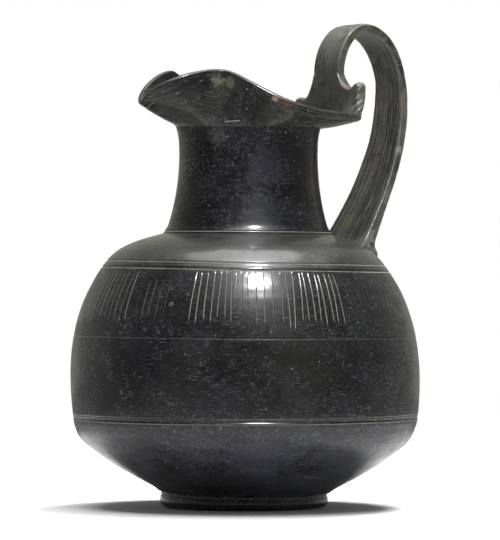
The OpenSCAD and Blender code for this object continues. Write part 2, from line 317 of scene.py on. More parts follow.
def along_curve(c, t):
    s = 1 - t
    return (s * s * (c[1] - c[0]) + 2 * s * t * (c[2] - c[1]) + t * t * (c[3] - c[2])).normalized()


def left_of(direction):
    return Vector((-direction[1], direction[0]))


def mix(a, b, t):
    return a + (b - a) * t


def limit(x):
    return min(max(x, 0), 1)


def ease(x):
    x = limit(x)
    return x * x * (3 - 2 * x)


def between(x, keys):
    """A value from a list of (place, value), joined by straight lines."""
    for (x0, v0), (x1, v1) in zip(keys, keys[1:]):
        if x <= x1:
            return mix(v0, v1, limit((x - x0) / (x1 - x0)))
    return keys[-1][1]


print("heading 90 is", [round(x, 3) for x in heading(90)])

# %% [markdown]
# The curves meet at the seams of the thrown parts. Each lean is the outline's angle at a
# seam, in degrees from straight outwards, so two parts that share it join without a corner.
# The turn between cone and belly is a small rounded curve of its own.

# %% The jug's outlines
CONE_LEAN, ROLL_LEAN, TURN_LEAN, SHOULDER_LEAN, COLLAR_LEAN = 29, 38, 83.2, 125.5, 164.2
NECK_FOOT_LEAN, NECK_TOP_LEAN = 108.5, 66
ROLL_IN, ROLL_HEIGHT = 9.6, 16.4
SHOULDER_RADIUS = 87.3
NECK_TOP_RADIUS = 44.5
COLLAR_RISE = 1.8
WALL = 5
FLOOR_THICKNESS = 6

roll_start = (turn_radius - ROLL_IN, turn_height - ROLL_HEIGHT)
cone_rise = roll_start[1] - foot_top
belly_rise = shoulder_height - turn_height
shoulder_rise = collar_height - shoulder_height
neck_rise = neck_top - collar_height
cone_curve = curve((foot_radius + 1, foot_top), CONE_LEAN, cone_rise * 0.6,
                   roll_start, ROLL_LEAN, cone_rise * 0.6)
roll_curve = curve(roll_start, ROLL_LEAN, ROLL_HEIGHT * 0.36,
                   (turn_radius, turn_height), TURN_LEAN, ROLL_HEIGHT * 0.5)
belly_curve = curve((turn_radius, turn_height), TURN_LEAN, belly_rise * 0.33,
                    (SHOULDER_RADIUS, shoulder_height), SHOULDER_LEAN, belly_rise * 0.39)
shoulder_curve = curve((SHOULDER_RADIUS, shoulder_height), SHOULDER_LEAN, shoulder_rise * 0.78,
                       (collar_radius, collar_height), COLLAR_LEAN, shoulder_rise * 0.86)
neck_curve = curve((neck_foot_radius, collar_height + COLLAR_RISE), NECK_FOOT_LEAN, neck_rise * 0.44,
                   (NECK_TOP_RADIUS, neck_top), NECK_TOP_LEAN, neck_rise * 0.11)
print(f"belly curve {belly_rise:.1f} mm high")

# %% [markdown]
# A groove is a named tuple: its height, its half width, its depth, and how much pale lime
# has settled in it. The same form with a negative depth makes a soft raised ring. The lime
# is kept on the mesh as an attribute, a number on each vertex that a material can read.

# %% Outline with grooves
Groove = namedtuple("Groove", "height half depth lime")
GROOVE_POINTS = 9


def place_at_height(c, height):
    """Where along a rising curve a height is reached, by halving the span again and again."""
    low, high = 0.0, 1.0
    for _ in range(30):
        middle = (low + high) / 2
        if on_curve(c, middle)[1] < height:
            low = middle
        else:
            high = middle
    return low


def outline(c, steps, grooves=()):
    """Points (radius, height, lime) along a curve, closer together where a groove is."""
    length = (c[3] - c[0]).length
    places = {i / steps for i in range(steps + 1)}
    centres = [(place_at_height(c, g.height), g) for g in grooves]
    for centre, g in centres:
        for k in range(-GROOVE_POINTS, GROOVE_POINTS + 1):
            places.add(round(limit(centre + k * 2.2 * g.half / GROOVE_POINTS / length), 6))
    points = []
    for t in sorted(places):
        sunk = lime = 0.0
        for centre, g in centres:
            shape = math.exp(-((t - centre) * length / g.half) ** 2)
            sunk += g.depth * shape
            lime += g.lime * shape ** 2
        spot = on_curve(c, t) + sunk * left_of(along_curve(c, t))
        points.append((spot[0], spot[1], lime))
    return points


def inside(c, steps):
    """The wall's inner side, from the top of the curve down."""
    points = []
    for i in range(steps, -1, -1):
        spot = on_curve(c, i / steps) + WALL * left_of(along_curve(c, i / steps))
        points.append((spot[0], spot[1], 0.0))
    return points


print("outline points on the belly:", len(outline(belly_curve, 30)))

# %% [markdown]
# ## Spinning an outline
# The spin operator turns the outline round the axis. Its last step meets the first, and
# merging closes that seam and the pole where an outline touches the axis. A wheel leaves slow
# waves a fraction of a millimetre high, and noise that depends only on the place gives the
# same waves to every piece that meets there. The thrown parts were also joined by hand, so
# each leans and shifts a little: keys by height say how far, and every piece follows them.

# %% Spin and settle
WAVE = 0.32
RIPPLE = 0.045
TILT = 0.018
drift_keys = [(0, -0.9), (9.6, -0.9), (12, -0.6), (20, -0.3), (32, -0.35), (38, 0), (44, -0.35), (52, -0.1),
              (60, 0), (100, -0.5), (122, -0.3), (136, 0.1), (158, 0.3), (168, 1.2), (172, 1.4), (205, 1.75),
              (233, 1.9)]
tilt_keys = [(0, 0), (9.6, 0.9), (52, 0), (60, 0), (100, 0.3), (146, 1), (152, 1), (162, 0.5), (172, 0.4),
             (225, 0)]


def sway(place):
    """How far the clay stands out at a place, in millimetres: slow waves and fine wheel rings."""
    slow = noise.noise(Vector((place.x / 70, place.y / 70, place.z / 45)))
    rings = noise.noise(Vector((place.x / 160, place.y / 160, place.z / 3.2)))
    return WAVE * slow + RIPPLE * rings


def spun(points, columns):
    """A solid ring or bowl from a closed outline of (radius, height, lime) points."""
    bm = bmesh.new()
    lime = bm.verts.layers.float.new("lime")
    corners = [bm.verts.new((p[0], 0, p[1])) for p in points]
    for corner, point in zip(corners, points):
        corner[lime] = point[2]
    edges = [bm.edges.new(pair) for pair in zip(corners, corners[1:] + corners[:1])]
    bmesh.ops.spin(bm, geom=corners + edges, cent=(0, 0, 0), axis=(0, 0, 1),
                   angle=math.tau, steps=columns, use_merge=True)
    bmesh.ops.remove_doubles(bm, verts=bm.verts, dist=0.001)
    bmesh.ops.recalc_face_normals(bm, faces=bm.faces)
    return bm


def sway_outwards(bm):
    for v in bm.verts:
        flat = Vector((v.co.x, v.co.y, 0))
        if flat.length > 1:
            v.co += sway(v.co) * flat.normalized()


def settle(bm):
    """Shifts and tilts each height of a thrown piece by the keys above."""
    for v in bm.verts:
        height = v.co.z
        v.co.z -= TILT * between(height, tilt_keys) * v.co.dot(rightward)
        v.co += between(height, drift_keys) * rightward


print(f"the lip's foot stands {drift_keys[-1][1]:.1f} mm off the axis")

# %% [markdown]
# Every edge of the jug is worn lighter, and every hollow is painted darker, partly with grime
# and partly as painted shade, so each vertex also keeps how sharply the surface bends there:
# the mean of its neighbours, seen along its normal. It is positive on an edge, negative in a
# hollow, and one over a radius in size.

# %% Finish a piece
BEND_ROUNDS = 2
MOST_BEND = 2.0


def measure_bend(bm):
    bend = bm.verts.layers.float.new("bend")
    bm.normal_update()
    for v in bm.verts:
        near = [e.other_vert(v).co - v.co for e in v.link_edges]
        size = sum(d.length_squared for d in near)
        v[bend] = max(-MOST_BEND, min(MOST_BEND, -2 * sum(d.dot(v.normal) for d in near) / max(size, 1e-6)))
    for _ in range(BEND_ROUNDS):
        even = []
        for v in bm.verts:
            even.append(sum(e.other_vert(v)[bend] for e in v.link_edges) / max(len(v.link_edges), 1))
        for v, value in zip(bm.verts, even):
            v[bend] = (v[bend] + value) / 2


def finish_piece(bm, name, body_slot, *nodes, sharp=35):
    """Turns a bmesh in millimetres into a smooth piece that rides on the jug and replaces nodes."""
    measure_bend(bm)
    bmesh.ops.scale(bm, vec=(MM, MM, MM), verts=bm.verts)
    mesh = bpy.data.meshes.new(name)
    bm.to_mesh(mesh)
    bm.free()
    mesh.polygons.foreach_set("use_smooth", [True] * len(mesh.polygons))
    mesh.set_sharp_from_angle(angle=math.radians(sharp))
    piece = bpy.data.objects.new(name, mesh)
    bpy.context.scene.collection.objects.link(piece)
    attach(piece, "root")
    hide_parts(*nodes)
    print(f"{name}: {len(mesh.polygons)} faces")
    return piece


print("bend is evened out", BEND_ROUNDS, "times")

# %% [markdown]
# Floor and cone, shoulder, collar and neck all go through the same steps: spun from their
# outline, waved, settled and finished.

# %% A thrown piece
COLUMNS = 288


def thrown(points, name, node):
    bm = spun(points, COLUMNS)
    sway_outwards(bm)
    settle(bm)
    return finish_piece(bm, name, "body_clay", node)


print("a thrown piece has", COLUMNS, "columns")

# %% [markdown]
# ## The foot
# The foot is a turned ring with a soft bulge and one very fine line high on it. Its lower
# edge has stood on stone for a long time, so small chips are missing along it: the noise
# that pulls the edge in only counts where it is strong.

# %% Foot ring
FOOT_WIDTH = 12
FOOT_EDGE = 47.5
CHIP_DEPTH, CHIP_REACH = 1.3, 3.0
LARGE_CHIP, SMALL_CHIP = 5.5, 1.9
FOOT_COLUMNS = 360


def foot_outline():
    bulge, inner = foot_radius, foot_radius - FOOT_WIDTH
    side = curve((FOOT_EDGE + 0.4, 0.0), 20, 2.6, (bulge, foot_top * 0.44), 90, 2.4)
    top = curve((bulge, foot_top * 0.44), 90, 2.4, (bulge - 1.0, foot_top), 108, 1.8)
    line = Groove(foot_top * 0.80, 0.35, 0.22, 0.45)
    low = [(inner - 1, 0.0, 0.0), (mix(inner, FOOT_EDGE, 0.5), 0.0, 0.0)]
    back = [(inner, foot_top, 0.0), (inner - 0.4, foot_top * 0.5, 0.0)]
    return low + outline(side, 12) + outline(top, 8, [line])[1:] + back


def chip_edge(bm, radius, height, reach, depth):
    """Bites out of an edge: vertices near it move in where a coarse noise is strong."""
    for v in bm.verts:
        flat = Vector((v.co.x, v.co.y, 0))
        near = 1 - limit(math.hypot(flat.length - radius, v.co.z - height) / reach)
        bite = limit((noise.noise(v.co / LARGE_CHIP) + 0.45 * noise.noise(v.co / SMALL_CHIP) - 0.18) / 0.4)
        v.co -= depth * near * bite * flat.normalized()


foot_bm = spun(foot_outline(), FOOT_COLUMNS)
chip_edge(foot_bm, FOOT_EDGE + 1.5, 0.6, CHIP_REACH, CHIP_DEPTH)
settle(foot_bm)
foot = finish_piece(foot_bm, "foot", "body_clay", "foot_ring")

# %% [markdown]
# ## The lower body
# Floor and cone are one piece. The outline starts on the axis under the floor, follows the
# cone out to the rounded turn, and comes back down the inner wall to the axis again.

# %% Lower body
WORN_LINE = Groove(turn_height - 0.5, 0.45, 0.05, 0.42)
full_keys = [(9.6, 0), (11.5, -0.8), (13.5, -0.9), (19.3, 0.6), (25.5, 1.7), (37.8, 1.6), (44, 0.8), (50, 0)]


def fuller(points):
    """The cone is not quite straight: by height, how far its outer side stands out."""
    return [(r + between(z, full_keys), z, lime) for r, z, lime in points]


def lower_outline():
    floor_height = foot_top + FLOOR_THICKNESS
    wall_side = inside(roll_curve, 10) + inside(cone_curve, 18)[1:]
    inner = [p for p in wall_side if p[1] > floor_height + 0.6]
    return ([(0.0, foot_top, 0.0), (foot_radius * 0.5, foot_top, 0.0)] + fuller(outline(cone_curve, 34))
            + fuller(outline(roll_curve, 24, [WORN_LINE])[1:])
            + inner + [(inner[-1][0] - 2.5, floor_height, 0.0), (25.0, floor_height, 0.0),
                       (0.0, floor_height, 0.0)])


lower = thrown(lower_outline(), "cone", "lower_body")

# %% [markdown]
# ## The belly and its strokes
# The potter cut a band of upright strokes under the shoulder while the clay was leather
# hard. They are not evenly spaced: they come in groups, some deep and some barely scratched.
# Each stroke gets four columns of the spin, two for its edges, one for its bottom and one
# for the plain clay before the next, and the columns are slid round to where it was cut.

# %% Where the strokes are
Stroke = namedtuple("Stroke", "angle slant top bottom depth")
Group = namedtuple("Group", "first last spacing depth low high")
FRONT = -90 - 33
stroke_groups = [
    Group(-70.5, -43, 2.9, 0.90, 113.5, 145.5),
    Group(-40, -27, 2.9, 0.55, 116, 141),
    Group(-18.7, -4.6, 2.28, 1.0, 115, 145.5),
    Group(-3.2, 1.1, 2.1, 0.60, 121, 146),
    Group(3.9, 13, 2.9, 0.85, 114.5, 146),
    Group(15.2, 18, 2.1, 1.25, 110.5, 146),
    Group(20.0, 36.2, 2.18, 1.0, 113, 145.8),
    Group(39.5, 64, 2.7, 0.42, 121.5, 135),
    Group(68, 84, 3.0, 0.60, 115, 144),
    Group(88, 121, 2.8, 0.80, 115, 144.5),
    Group(123, 160, 3.1, 0.55, 117, 143),
    Group(163, 196, 2.6, 0.95, 114, 144.5),
    Group(199, 236, 3.0, 0.60, 116, 144),
    Group(239, 286, 2.9, 0.85, 115, 144.5),
]


def wobble(seed, spot):
    """A repeatable number between -1 and 1 for the stroke at a spot."""
    return limit(noise.noise(Vector((spot * 3.7, seed * 9.1, 0.5))) + 0.5) * 2 - 1


def cut_strokes():
    strokes = []
    for number, group in enumerate(stroke_groups):
        angle = group.first
        while angle <= group.last:
            a, b, c, d = (wobble(number + 11 * k, angle) for k in range(1, 5))
            strokes.append(Stroke(angle + 0.10 * group.spacing * a, 0.8 * b, group.high - 1.2 * abs(c),
                                  group.low + 2.2 * d, group.depth * (0.78 + 0.22 * c)))
            angle += group.spacing * (1 + 0.08 * c)
    return strokes


strokes = cut_strokes()
print(len(strokes), "strokes")

# %% [markdown]
# The spin starts in the +X direction, so a column's number follows from a vertex's angle.
# The belly also carries the fine double line above the turn and one broken line under the
# strokes. Its outline is finer where the strokes are.

# %% Belly
STROKE_HALF = 0.36
STROKE_SINK = 0.20
BELLY_GROOVES = [
    Groove(turn_height + 0.9, 0.45, 0.45, 0.0),
    Groove(turn_height + 1.8, 0.28, 0.14, 0.30),
    Groove(turn_height + 2.8, 0.30, 0.22, 0.36),
    Groove(105.2, 0.30, 0.10, 0.36),
    Groove(shoulder_height - 2.1, 0.42, 0.45, 0.75),
]
FINE_FROM = 108


def belly_outline():
    low = on_curve(belly_curve, place_at_height(belly_curve, FINE_FROM))[1]
    fine = [p for p in outline(belly_curve, 96, BELLY_GROOVES) if p[1] > low]
    coarse = [p for p in outline(belly_curve, 36, BELLY_GROOVES) if p[1] <= low]
    return coarse + fine + inside(belly_curve, 20)


def stroke_share(stroke, height):
    """How deep a stroke is at a height, from 0 to 1: it starts sharply and runs out softly."""
    return ease((stroke.top - height) / 1.4) * ease((height - stroke.bottom) / 3.5)


def incise(bm, strokes, columns):
    lime = bm.verts.layers.float["lime"]
    step = math.tau / columns
    for v in bm.verts:
        flat = Vector((v.co.x, v.co.y, 0))
        column = round(math.atan2(v.co.y, v.co.x) / step) % columns
        stroke, role = strokes[column // 4], column % 4 - 1
        following = strokes[(column // 4 + 1) % len(strokes)]
        gap = (following.angle - stroke.angle) % 360
        height = v.co.z
        lean = stroke.slant * (height - 130) / 30
        if role < 2:
            angle = stroke.angle + lean + math.degrees(role * STROKE_HALF / flat.length)
        else:
            angle = stroke.angle + gap / 2
        outer = flat.length > on_curve(belly_curve, place_at_height(belly_curve, height))[0] - 2.5
        share = stroke_share(stroke, height) if role == 0 and outer else 0
        turn = math.radians(angle + FRONT)
        reach = flat.length - STROKE_SINK * stroke.depth * share + sway(v.co)
        v.co.x, v.co.y = reach * math.cos(turn), reach * math.sin(turn)
        v[lime] = max(v[lime], stroke.depth * share)


belly_bm = spun(belly_outline(), 4 * len(strokes))
incise(belly_bm, strokes, 4 * len(strokes))
settle(belly_bm)
belly = finish_piece(belly_bm, "belly_wall", "belly_clay", "belly", sharp=9)

# %% [markdown]
# ## Shoulder, collar and neck
# The shoulder is a dome with one groove near its edge, and a flat seat for the neck.

# %% Shoulder
def shoulder_outline():
    seat = neck_foot_radius - WALL
    grooves = [Groove(shoulder_height + 2.0, 0.42, 0.42, 0.65), Groove(shoulder_height + 0.4, 0.7, 0.2, 0.0)]
    return (outline(shoulder_curve, 44, grooves)
            + [(seat, collar_height, 0.0), (seat, collar_height - WALL, 0.0)] + inside(shoulder_curve, 20))


shoulder = thrown(shoulder_outline(), "dome", "shoulder")

# %% [markdown]
# The collar is the thin ridge round the join. Its pale line is only a filling, so its groove
# has no depth.

# %% Collar
def collar_outline():
    inner, edge = neck_foot_radius, collar_radius
    top = curve((edge, collar_height + 0.5), 90, 0.5, (inner + 0.2, collar_height + COLLAR_RISE), 150, 0.9)
    pale_line = Groove(collar_height + 1.0, 0.45, 0.0, 0.75)
    return ([(inner - 1, collar_height - 0.8, 0.0), (edge - 0.3, collar_height - 0.8, 0.0),
             (edge, collar_height + 0.1, 0.0)]
            + outline(top, 8, [pale_line]) + [(inner - 1, collar_height + COLLAR_RISE, 0.0)])


collar = thrown(collar_outline(), "collar_ring", "collar")

# %% [markdown]
# The neck leaves the collar in a small hollow fillet, narrows upwards, and turns outwards
# again just before the lip starts to flare.

# %% Neck
FILLET_RISE, FILLET_OUT = 4.0, 0.9


def neck_outline():
    start = collar_height + COLLAR_RISE
    outside = [(neck_foot_radius + FILLET_OUT, collar_height, 0.0)]
    for radius, height, lime in outline(neck_curve, 60, [Groove(neck_top - 8, 3.0, 0.06, 0.0)]):
        low = 1 - limit((height - start) / FILLET_RISE)
        outside.append((radius + FILLET_OUT * low ** 2, height, lime))
    inner = [(p[0] - WALL, p[1], 0.0) for p in reversed(outside[::2])]
    return outside + inner


neck = thrown(neck_outline(), "throat", "neck")

# %% [markdown]
# ## The mouth
# The lip flares from the round neck and is pinched at two places, which leaves a spout in
# front and a wide round lobe behind. Reach and height of the rim follow a few keys round
# the rim, with a smooth step between each two. The two sides were pressed by two fingers,
# so their keys differ. The wall between neck and rim is a bend with one control point, and
# its thickness is laid inwards along its own normal.

# %% Lip shape
SPOUT_REACH, PINCH_REACH, BACK_REACH = 75.1, 41, 68.7
SPOUT_RISE, PINCH_RISE, BACK_RISE = 12.7, 34, 4.4
SIDE_LOW, SIDE_FULL = 118, 140
RIM_THICKNESS = 3.8
Side = namedtuple("Side", "reach rise")


def side_keys(pinch_in, pinch_up, low_shape):
    """Keys of (angle, value, shape) for one side. Each pinch key says where, how far and its shape."""
    return Side([(0, SPOUT_REACH, 1), pinch_in, (SIDE_FULL, BACK_REACH + 2, 1), (180, BACK_REACH, 1)],
                [(0, SPOUT_RISE, 1), pinch_up, (SIDE_LOW, BACK_RISE + 1, low_shape), (180, BACK_RISE, 1)])


far_side = side_keys((48, PINCH_REACH - 0.4, 0.93), (34.5, PINCH_RISE + 0.4, 0.89), 0.62)
near_side = side_keys((39, PINCH_REACH + 0.4, 1.12), (35, PINCH_RISE - 0.4, 0.57), 0.93)
print("rim keys on each side:", len(far_side.reach), "for reach,", len(far_side.rise), "for height")

# %% [markdown]
# The outer side of the lip is a function of two numbers: the angle round the rim, and how
# far up from the neck. Its inner side follows from the wall's direction and thickness.

# %% The lip's two sides
def keyed(x, keys):
    """A smooth value through keys of (place, value, shape of the stretch that ends there)."""
    for (x0, v0, _), (x1, v1, shape) in zip(keys, keys[1:]):
        if x <= x1 or x1 == keys[-1][0]:
            return mix(v0, v1, ease(limit((x - x0) / (x1 - x0)) ** shape))


def around(b):
    """The level direction at angle b, counted from the spout through +Y to the back."""
    return Vector((-math.cos(math.radians(b)), math.sin(math.radians(b)), 0))


def lip_out(b, t):
    """The lip's outer side, from the neck (t = 0) to the rim (t = 1)."""
    b %= 360
    side, folded = (far_side, b) if b <= 180 else (near_side, 360 - b)
    reach, rise = keyed(folded, side.reach), keyed(folded, side.rise)
    s = 1 - t
    radius = s * s * NECK_TOP_RADIUS + 2 * t * s * mix(NECK_TOP_RADIUS, reach, 0.45) + t * t * reach
    height = 2 * t * s * rise * 0.2 + t * t * rise
    shift = drift_keys[-1][1] * (1 - ease(t))
    return radius * around(b) + shift * rightward + Vector((0, 0, neck_top + height))


def lip_up(b, t):
    return (lip_out(b, t + 0.01) - lip_out(b, t - 0.01)).normalized()


def lip_inwards(b, t):
    side = lip_out(b + 0.5, t) - lip_out(b - 0.5, t)
    square = side.cross(lip_up(b, t)).normalized()
    if square.dot(around(b)) > 0:
        square.negate()
    return mix(-around(b), square, ease(t / 0.3)).normalized()


def lip_thickness(t):
    if t < 0.7:
        return mix(WALL, RIM_THICKNESS * 0.9, ease(t / 0.7))
    return mix(RIM_THICKNESS * 0.9, RIM_THICKNESS, ease((t - 0.7) / 0.3))


def lip_in(b, t):
    return lip_out(b, t) + lip_thickness(t) * lip_inwards(b, t)


print("rim at the spout:", [round(x, 1) for x in lip_out(0, 1)])

# %% [markdown]
# A skin through rings of points starts as a circle of vertices. Each next ring is extruded
# from the last and moved to its place, so the operators make every face. A number kept on
# each vertex tells which point of the ring it is, because an extruded vertex copies it.

# %% Skin through rings
def skinned(loops, closed):
    bm = bmesh.new()
    spot = bm.verts.layers.int.new("spot")
    bm.verts.layers.float.new("lime")
    bmesh.ops.create_circle(bm, segments=len(loops[0]), radius=1)
    for number, v in enumerate(bm.verts):
        v[spot] = number
        v.co = loops[0][number]
    first = ring = list(bm.edges)
    for loop in loops[1:]:
        grown = bmesh.ops.extrude_edge_only(bm, edges=ring)["geom"]
        fresh = {v for v in grown if isinstance(v, bmesh.types.BMVert)}
        for v in fresh:
            v.co = loop[v[spot]]
        ring = [e for e in grown if isinstance(e, bmesh.types.BMEdge) and set(e.verts) <= fresh]
    if closed:
        bmesh.ops.bridge_loops(bm, edges=first + ring)
    else:
        bmesh.ops.edgeloop_fill(bm, edges=first)
        bmesh.ops.edgeloop_fill(bm, edges=ring)
    bmesh.ops.recalc_face_normals(bm, faces=bm.faces)
    return bm


print("skins can be closed rings or capped tubes")

# %% [markdown]
# The rim is a thick rounded roll. Fine lines run just inside it and just outside, where the
# potter's cloth pressed the soft edge, so the rows of the skin lie closer together there.

# %% Mouth
MOUTH_COLUMNS = 360
RIM_STEPS = 8
RIM_LINE = 0.30
LINE_PLACE, LINE_HALF = 0.905, 0.022
RUBBED_PINCH = 312
LIP_WAVE, LIP_DENT = 0.45, 0.16
lip_rows = [i / 24 for i in range(21)] + [0.84 + 0.16 * i / 14 for i in range(1, 15)]


def rim_line(b, t, place, half):
    """The pressed line's depth: it fades out where the near pinch was rubbed smooth."""
    rubbed = math.exp(-((b % 360 - RUBBED_PINCH) / 30) ** 2)
    return RIM_LINE * (1 - 0.85 * rubbed) * math.exp(-((t - place) / half) ** 2)


def lip_sway(point):
    return LIP_WAVE * noise.noise(point / 24) + LIP_DENT * noise.noise(point / 7)


def outer_point(b, t):
    pressed = rim_line(b, t, LINE_PLACE, LINE_HALF)
    return lip_out(b, t) + (pressed - lip_sway(lip_out(b, t)) * ease(t * 3)) * lip_inwards(b, t)


def roll_point(b, turn):
    """A point on the rounded rim, from its outer side (turn = 0) to its inner side (half a turn)."""
    return (mix(lip_out(b, 1), lip_in(b, 1), (1 - math.cos(turn)) / 2)
            + 0.34 * RIM_THICKNESS * math.sin(turn) * lip_up(b, 1)
            - lip_sway(lip_out(b, 1)) * lip_inwards(b, 1))


def inner_point(b, t):
    pressed = rim_line(b, t, LINE_PLACE - 0.02, LINE_HALF)
    return lip_in(b, t) - (pressed + lip_sway(lip_out(b, t)) * ease(t * 3)) * lip_inwards(b, t)


def mouth_loops():
    angles = [360 * i / MOUTH_COLUMNS for i in range(MOUTH_COLUMNS)]
    turns = [math.pi * j / RIM_STEPS for j in range(1, RIM_STEPS)]
    return ([[outer_point(b, t) for b in angles] for t in lip_rows]
            + [[roll_point(b, turn) for b in angles] for turn in turns]
            + [[inner_point(b, t) for b in angles] for t in reversed(lip_rows)])


mouth_bm = skinned(mouth_loops(), closed=True)
mouth = finish_piece(mouth_bm, "lip", "body_clay", "mouth", sharp=60)

# %% [markdown]
# ## The handle
# The handle was pulled as one strap of clay. Its upper end is spread as a sheet over the
# back lip, between two small horns. It rises, arches over, and comes down to a wide root on
# the shoulder. The sheet and the strap are two skins through cross-sections that run into
# each other. A voxel remesh then makes them one body, and smoothing blends the join as a
# wet finger would.

# %% Strap centreline
STRAP_WIDTH, ROOT_WIDTH, STRAP_THICKNESS = 27, 47.5, 6.2
TALL_HORN, SHORT_HORN = 29.2, 22
STRAP_LIFT = 5.4
ROOT_PLACE, ROOT_LEAN = 0.41, 243.5
strap_start = Vector((BACK_REACH - 6.5, neck_top + TALL_HORN + STRAP_LIFT))
arch_top = Vector((mix(strap_start[0], handle_reach - STRAP_THICKNESS / 2, 0.4),
                   arch_height - STRAP_THICKNESS / 2))
reach_point = Vector((handle_reach - STRAP_THICKNESS / 2, mix(collar_height, arch_top[1], 0.683)))
root_point = on_curve(shoulder_curve, ROOT_PLACE)
rise_curve = curve(strap_start, 90, (arch_top[1] - strap_start[1]) * 0.66,
                   arch_top, 0, (arch_top[0] - strap_start[0]) * 0.36)
fall_curve = curve(arch_top, 0, (reach_point[0] - arch_top[0]) * 0.55,
                   reach_point, 270, (arch_top[1] - reach_point[1]) * 0.57)
drop_curve = curve(reach_point, 270, (reach_point[1] - root_point[1]) * 0.43,
                   root_point, ROOT_LEAN, (reach_point[1] - root_point[1]) * 0.30)
strap_curves = (rise_curve, fall_curve, drop_curve)


def strap_half(u):
    """Half the strap's width at u, counted 0 to 1 on each of the three curves."""
    return mix(STRAP_WIDTH, ROOT_WIDTH, limit((u - 1.85) / 1.15) ** 1.15) / 2


def strap_thick(u):
    return STRAP_THICKNESS * (1 + 0.4 * ease((u - 2.6) / 0.4))


print("arch top:", [round(x, 1) for x in arch_top])

# %% [markdown]
# A cross-section of the strap has a front and a back face and two narrow sides. The face
# that looks up over the arch is smooth at first, with one line beside each border, and gets
# more grooves from the arch down. The face towards the neck is a shallow channel with fine
# furrows beside its borders. Each side is hollowed a little between the two borders.

# %% Strap cross-sections
FLUTE = 0.8
FACE_STEPS = 40
SIDE_STEPS = 8
SIDE_HOLLOW = 0.6
ROOT_FLARE = 3.2


def dip(q, at, spread):
    return math.exp(-((abs(q) - at) / spread) ** 2)


def outer_relief(q, u):
    late = ease((u - 0.9) / 0.7)
    return -FLUTE * (0.8 * dip(q, 0.80, 0.07) + late * (dip(q, 0.46, 0.09) + 0.8 * dip(q, 0.0, 0.12)))


def inner_relief(q, u):
    late, low = ease((u - 1.2) / 1.0), ease((u - 2.0) / 0.4)
    furrows = 0.8 * dip(q, 0.80, 0.06) + late * (0.8 * dip(q, 0.55, 0.08) + 0.7 * low * dip(q, 0.30, 0.07))
    return -FLUTE * (0.7 * (1 - abs(q) ** 2.4) + furrows)


print(f"channel {-inner_relief(0, 1):.2f} mm deep over the arch")

# %% [markdown]
# The cross-sections stand square to the centreline. The first ones reach down into the
# sheet, and the last ones flare and sink into the shoulder, so that the joins are closed.

# %% Cross-sections along the strap
def strap_section(u, sink=0.0, flare=0.0):
    c = strap_curves[min(int(u), 2)]
    t = u - min(int(u), 2)
    along = along_curve(c, t)
    middle, square = on_curve(c, t) + sink * along, left_of(along)
    half, thick = strap_half(u) + flare, strap_thick(u) / 2 + flare

    def spot(q, out):
        return Vector((middle[0] + out * square[0], half * q, middle[1] + out * square[1]))

    def side(sign):
        for j in range(1, SIDE_STEPS):
            bow = math.sin(math.pi * j / SIDE_STEPS)
            swell = 0.02 * bow - SIDE_HOLLOW / half * bow ** 4
            yield spot(sign * (1 + swell), sign * thick * 0.78 * (1 - 2 * j / SIDE_STEPS))

    faces = [-1 + 2 * j / FACE_STEPS for j in range(FACE_STEPS + 1)]
    points = [spot(q, thick * (1 - 0.22 * abs(q) ** 16) + outer_relief(q, u)) for q in faces]
    points += side(1)
    points += [spot(q, -thick * (1 - 0.22 * abs(q) ** 16) - inner_relief(q, u)) for q in reversed(faces)]
    points += side(-1)
    return points


def strap_loops():
    """Cross-sections from inside the sheet, over the arch, to a flared root in the shoulder."""
    loops = [strap_section(0.0, sink=-6.0), strap_section(0.0, sink=-3.0)]
    loops += [strap_section(i / 20) for i in range(20)]
    loops += [strap_section(1 + i / 28) for i in range(28)]
    loops += [strap_section(2 + 0.86 * i / 34) for i in range(34)]
    for i in range(13):
        share = i / 12
        loops.append(strap_section(2 + mix(0.86, 0.9999, share), flare=ROOT_FLARE * share ** 4))
    loops.append(strap_section(2.9999, sink=4.2, flare=ROOT_FLARE * 1.5))
    return loops


print("cross-sections:", len(strap_loops()))

# %% [markdown]
# The sheet is a row of upright sections that stand side by side round the back lip. Each
# one starts on the lip's inner side, bends up to the sheet's top edge, and comes down to
# the rim. The top edge falls in a wide hollow from the strap to a small horn at each end.

# %% Sheet over the back lip
SHEET_ROW = 0.64
STRAP_ANGLE = 10.0
SPAN = 32.5
SHEET_STEP = 1.25
SHEET_RISE_STEPS = 14
SINK_IN_LIP = 1.5
strap_foot = TALL_HORN + STRAP_LIFT


def top_keys(horn, valley):
    return [(STRAP_ANGLE, strap_foot, 1), (SPAN - 10, horn - valley, 0.5),
            (SPAN - 5, horn - 0.3, 1), (SPAN - 2.5, horn, 1), (SPAN, horn - 2.4, 1)]


tall_keys, short_keys = top_keys(TALL_HORN, 3.2), top_keys(SHORT_HORN, 0.8)
print("the sheet's edge falls", round(strap_foot - tall_keys[1][1], 1), "mm beside the strap")

# %% [markdown]
# One section of the sheet has two bent sides and a rounded top edge, and it is closed by a
# row of points sunk into the lip, where they don't show.

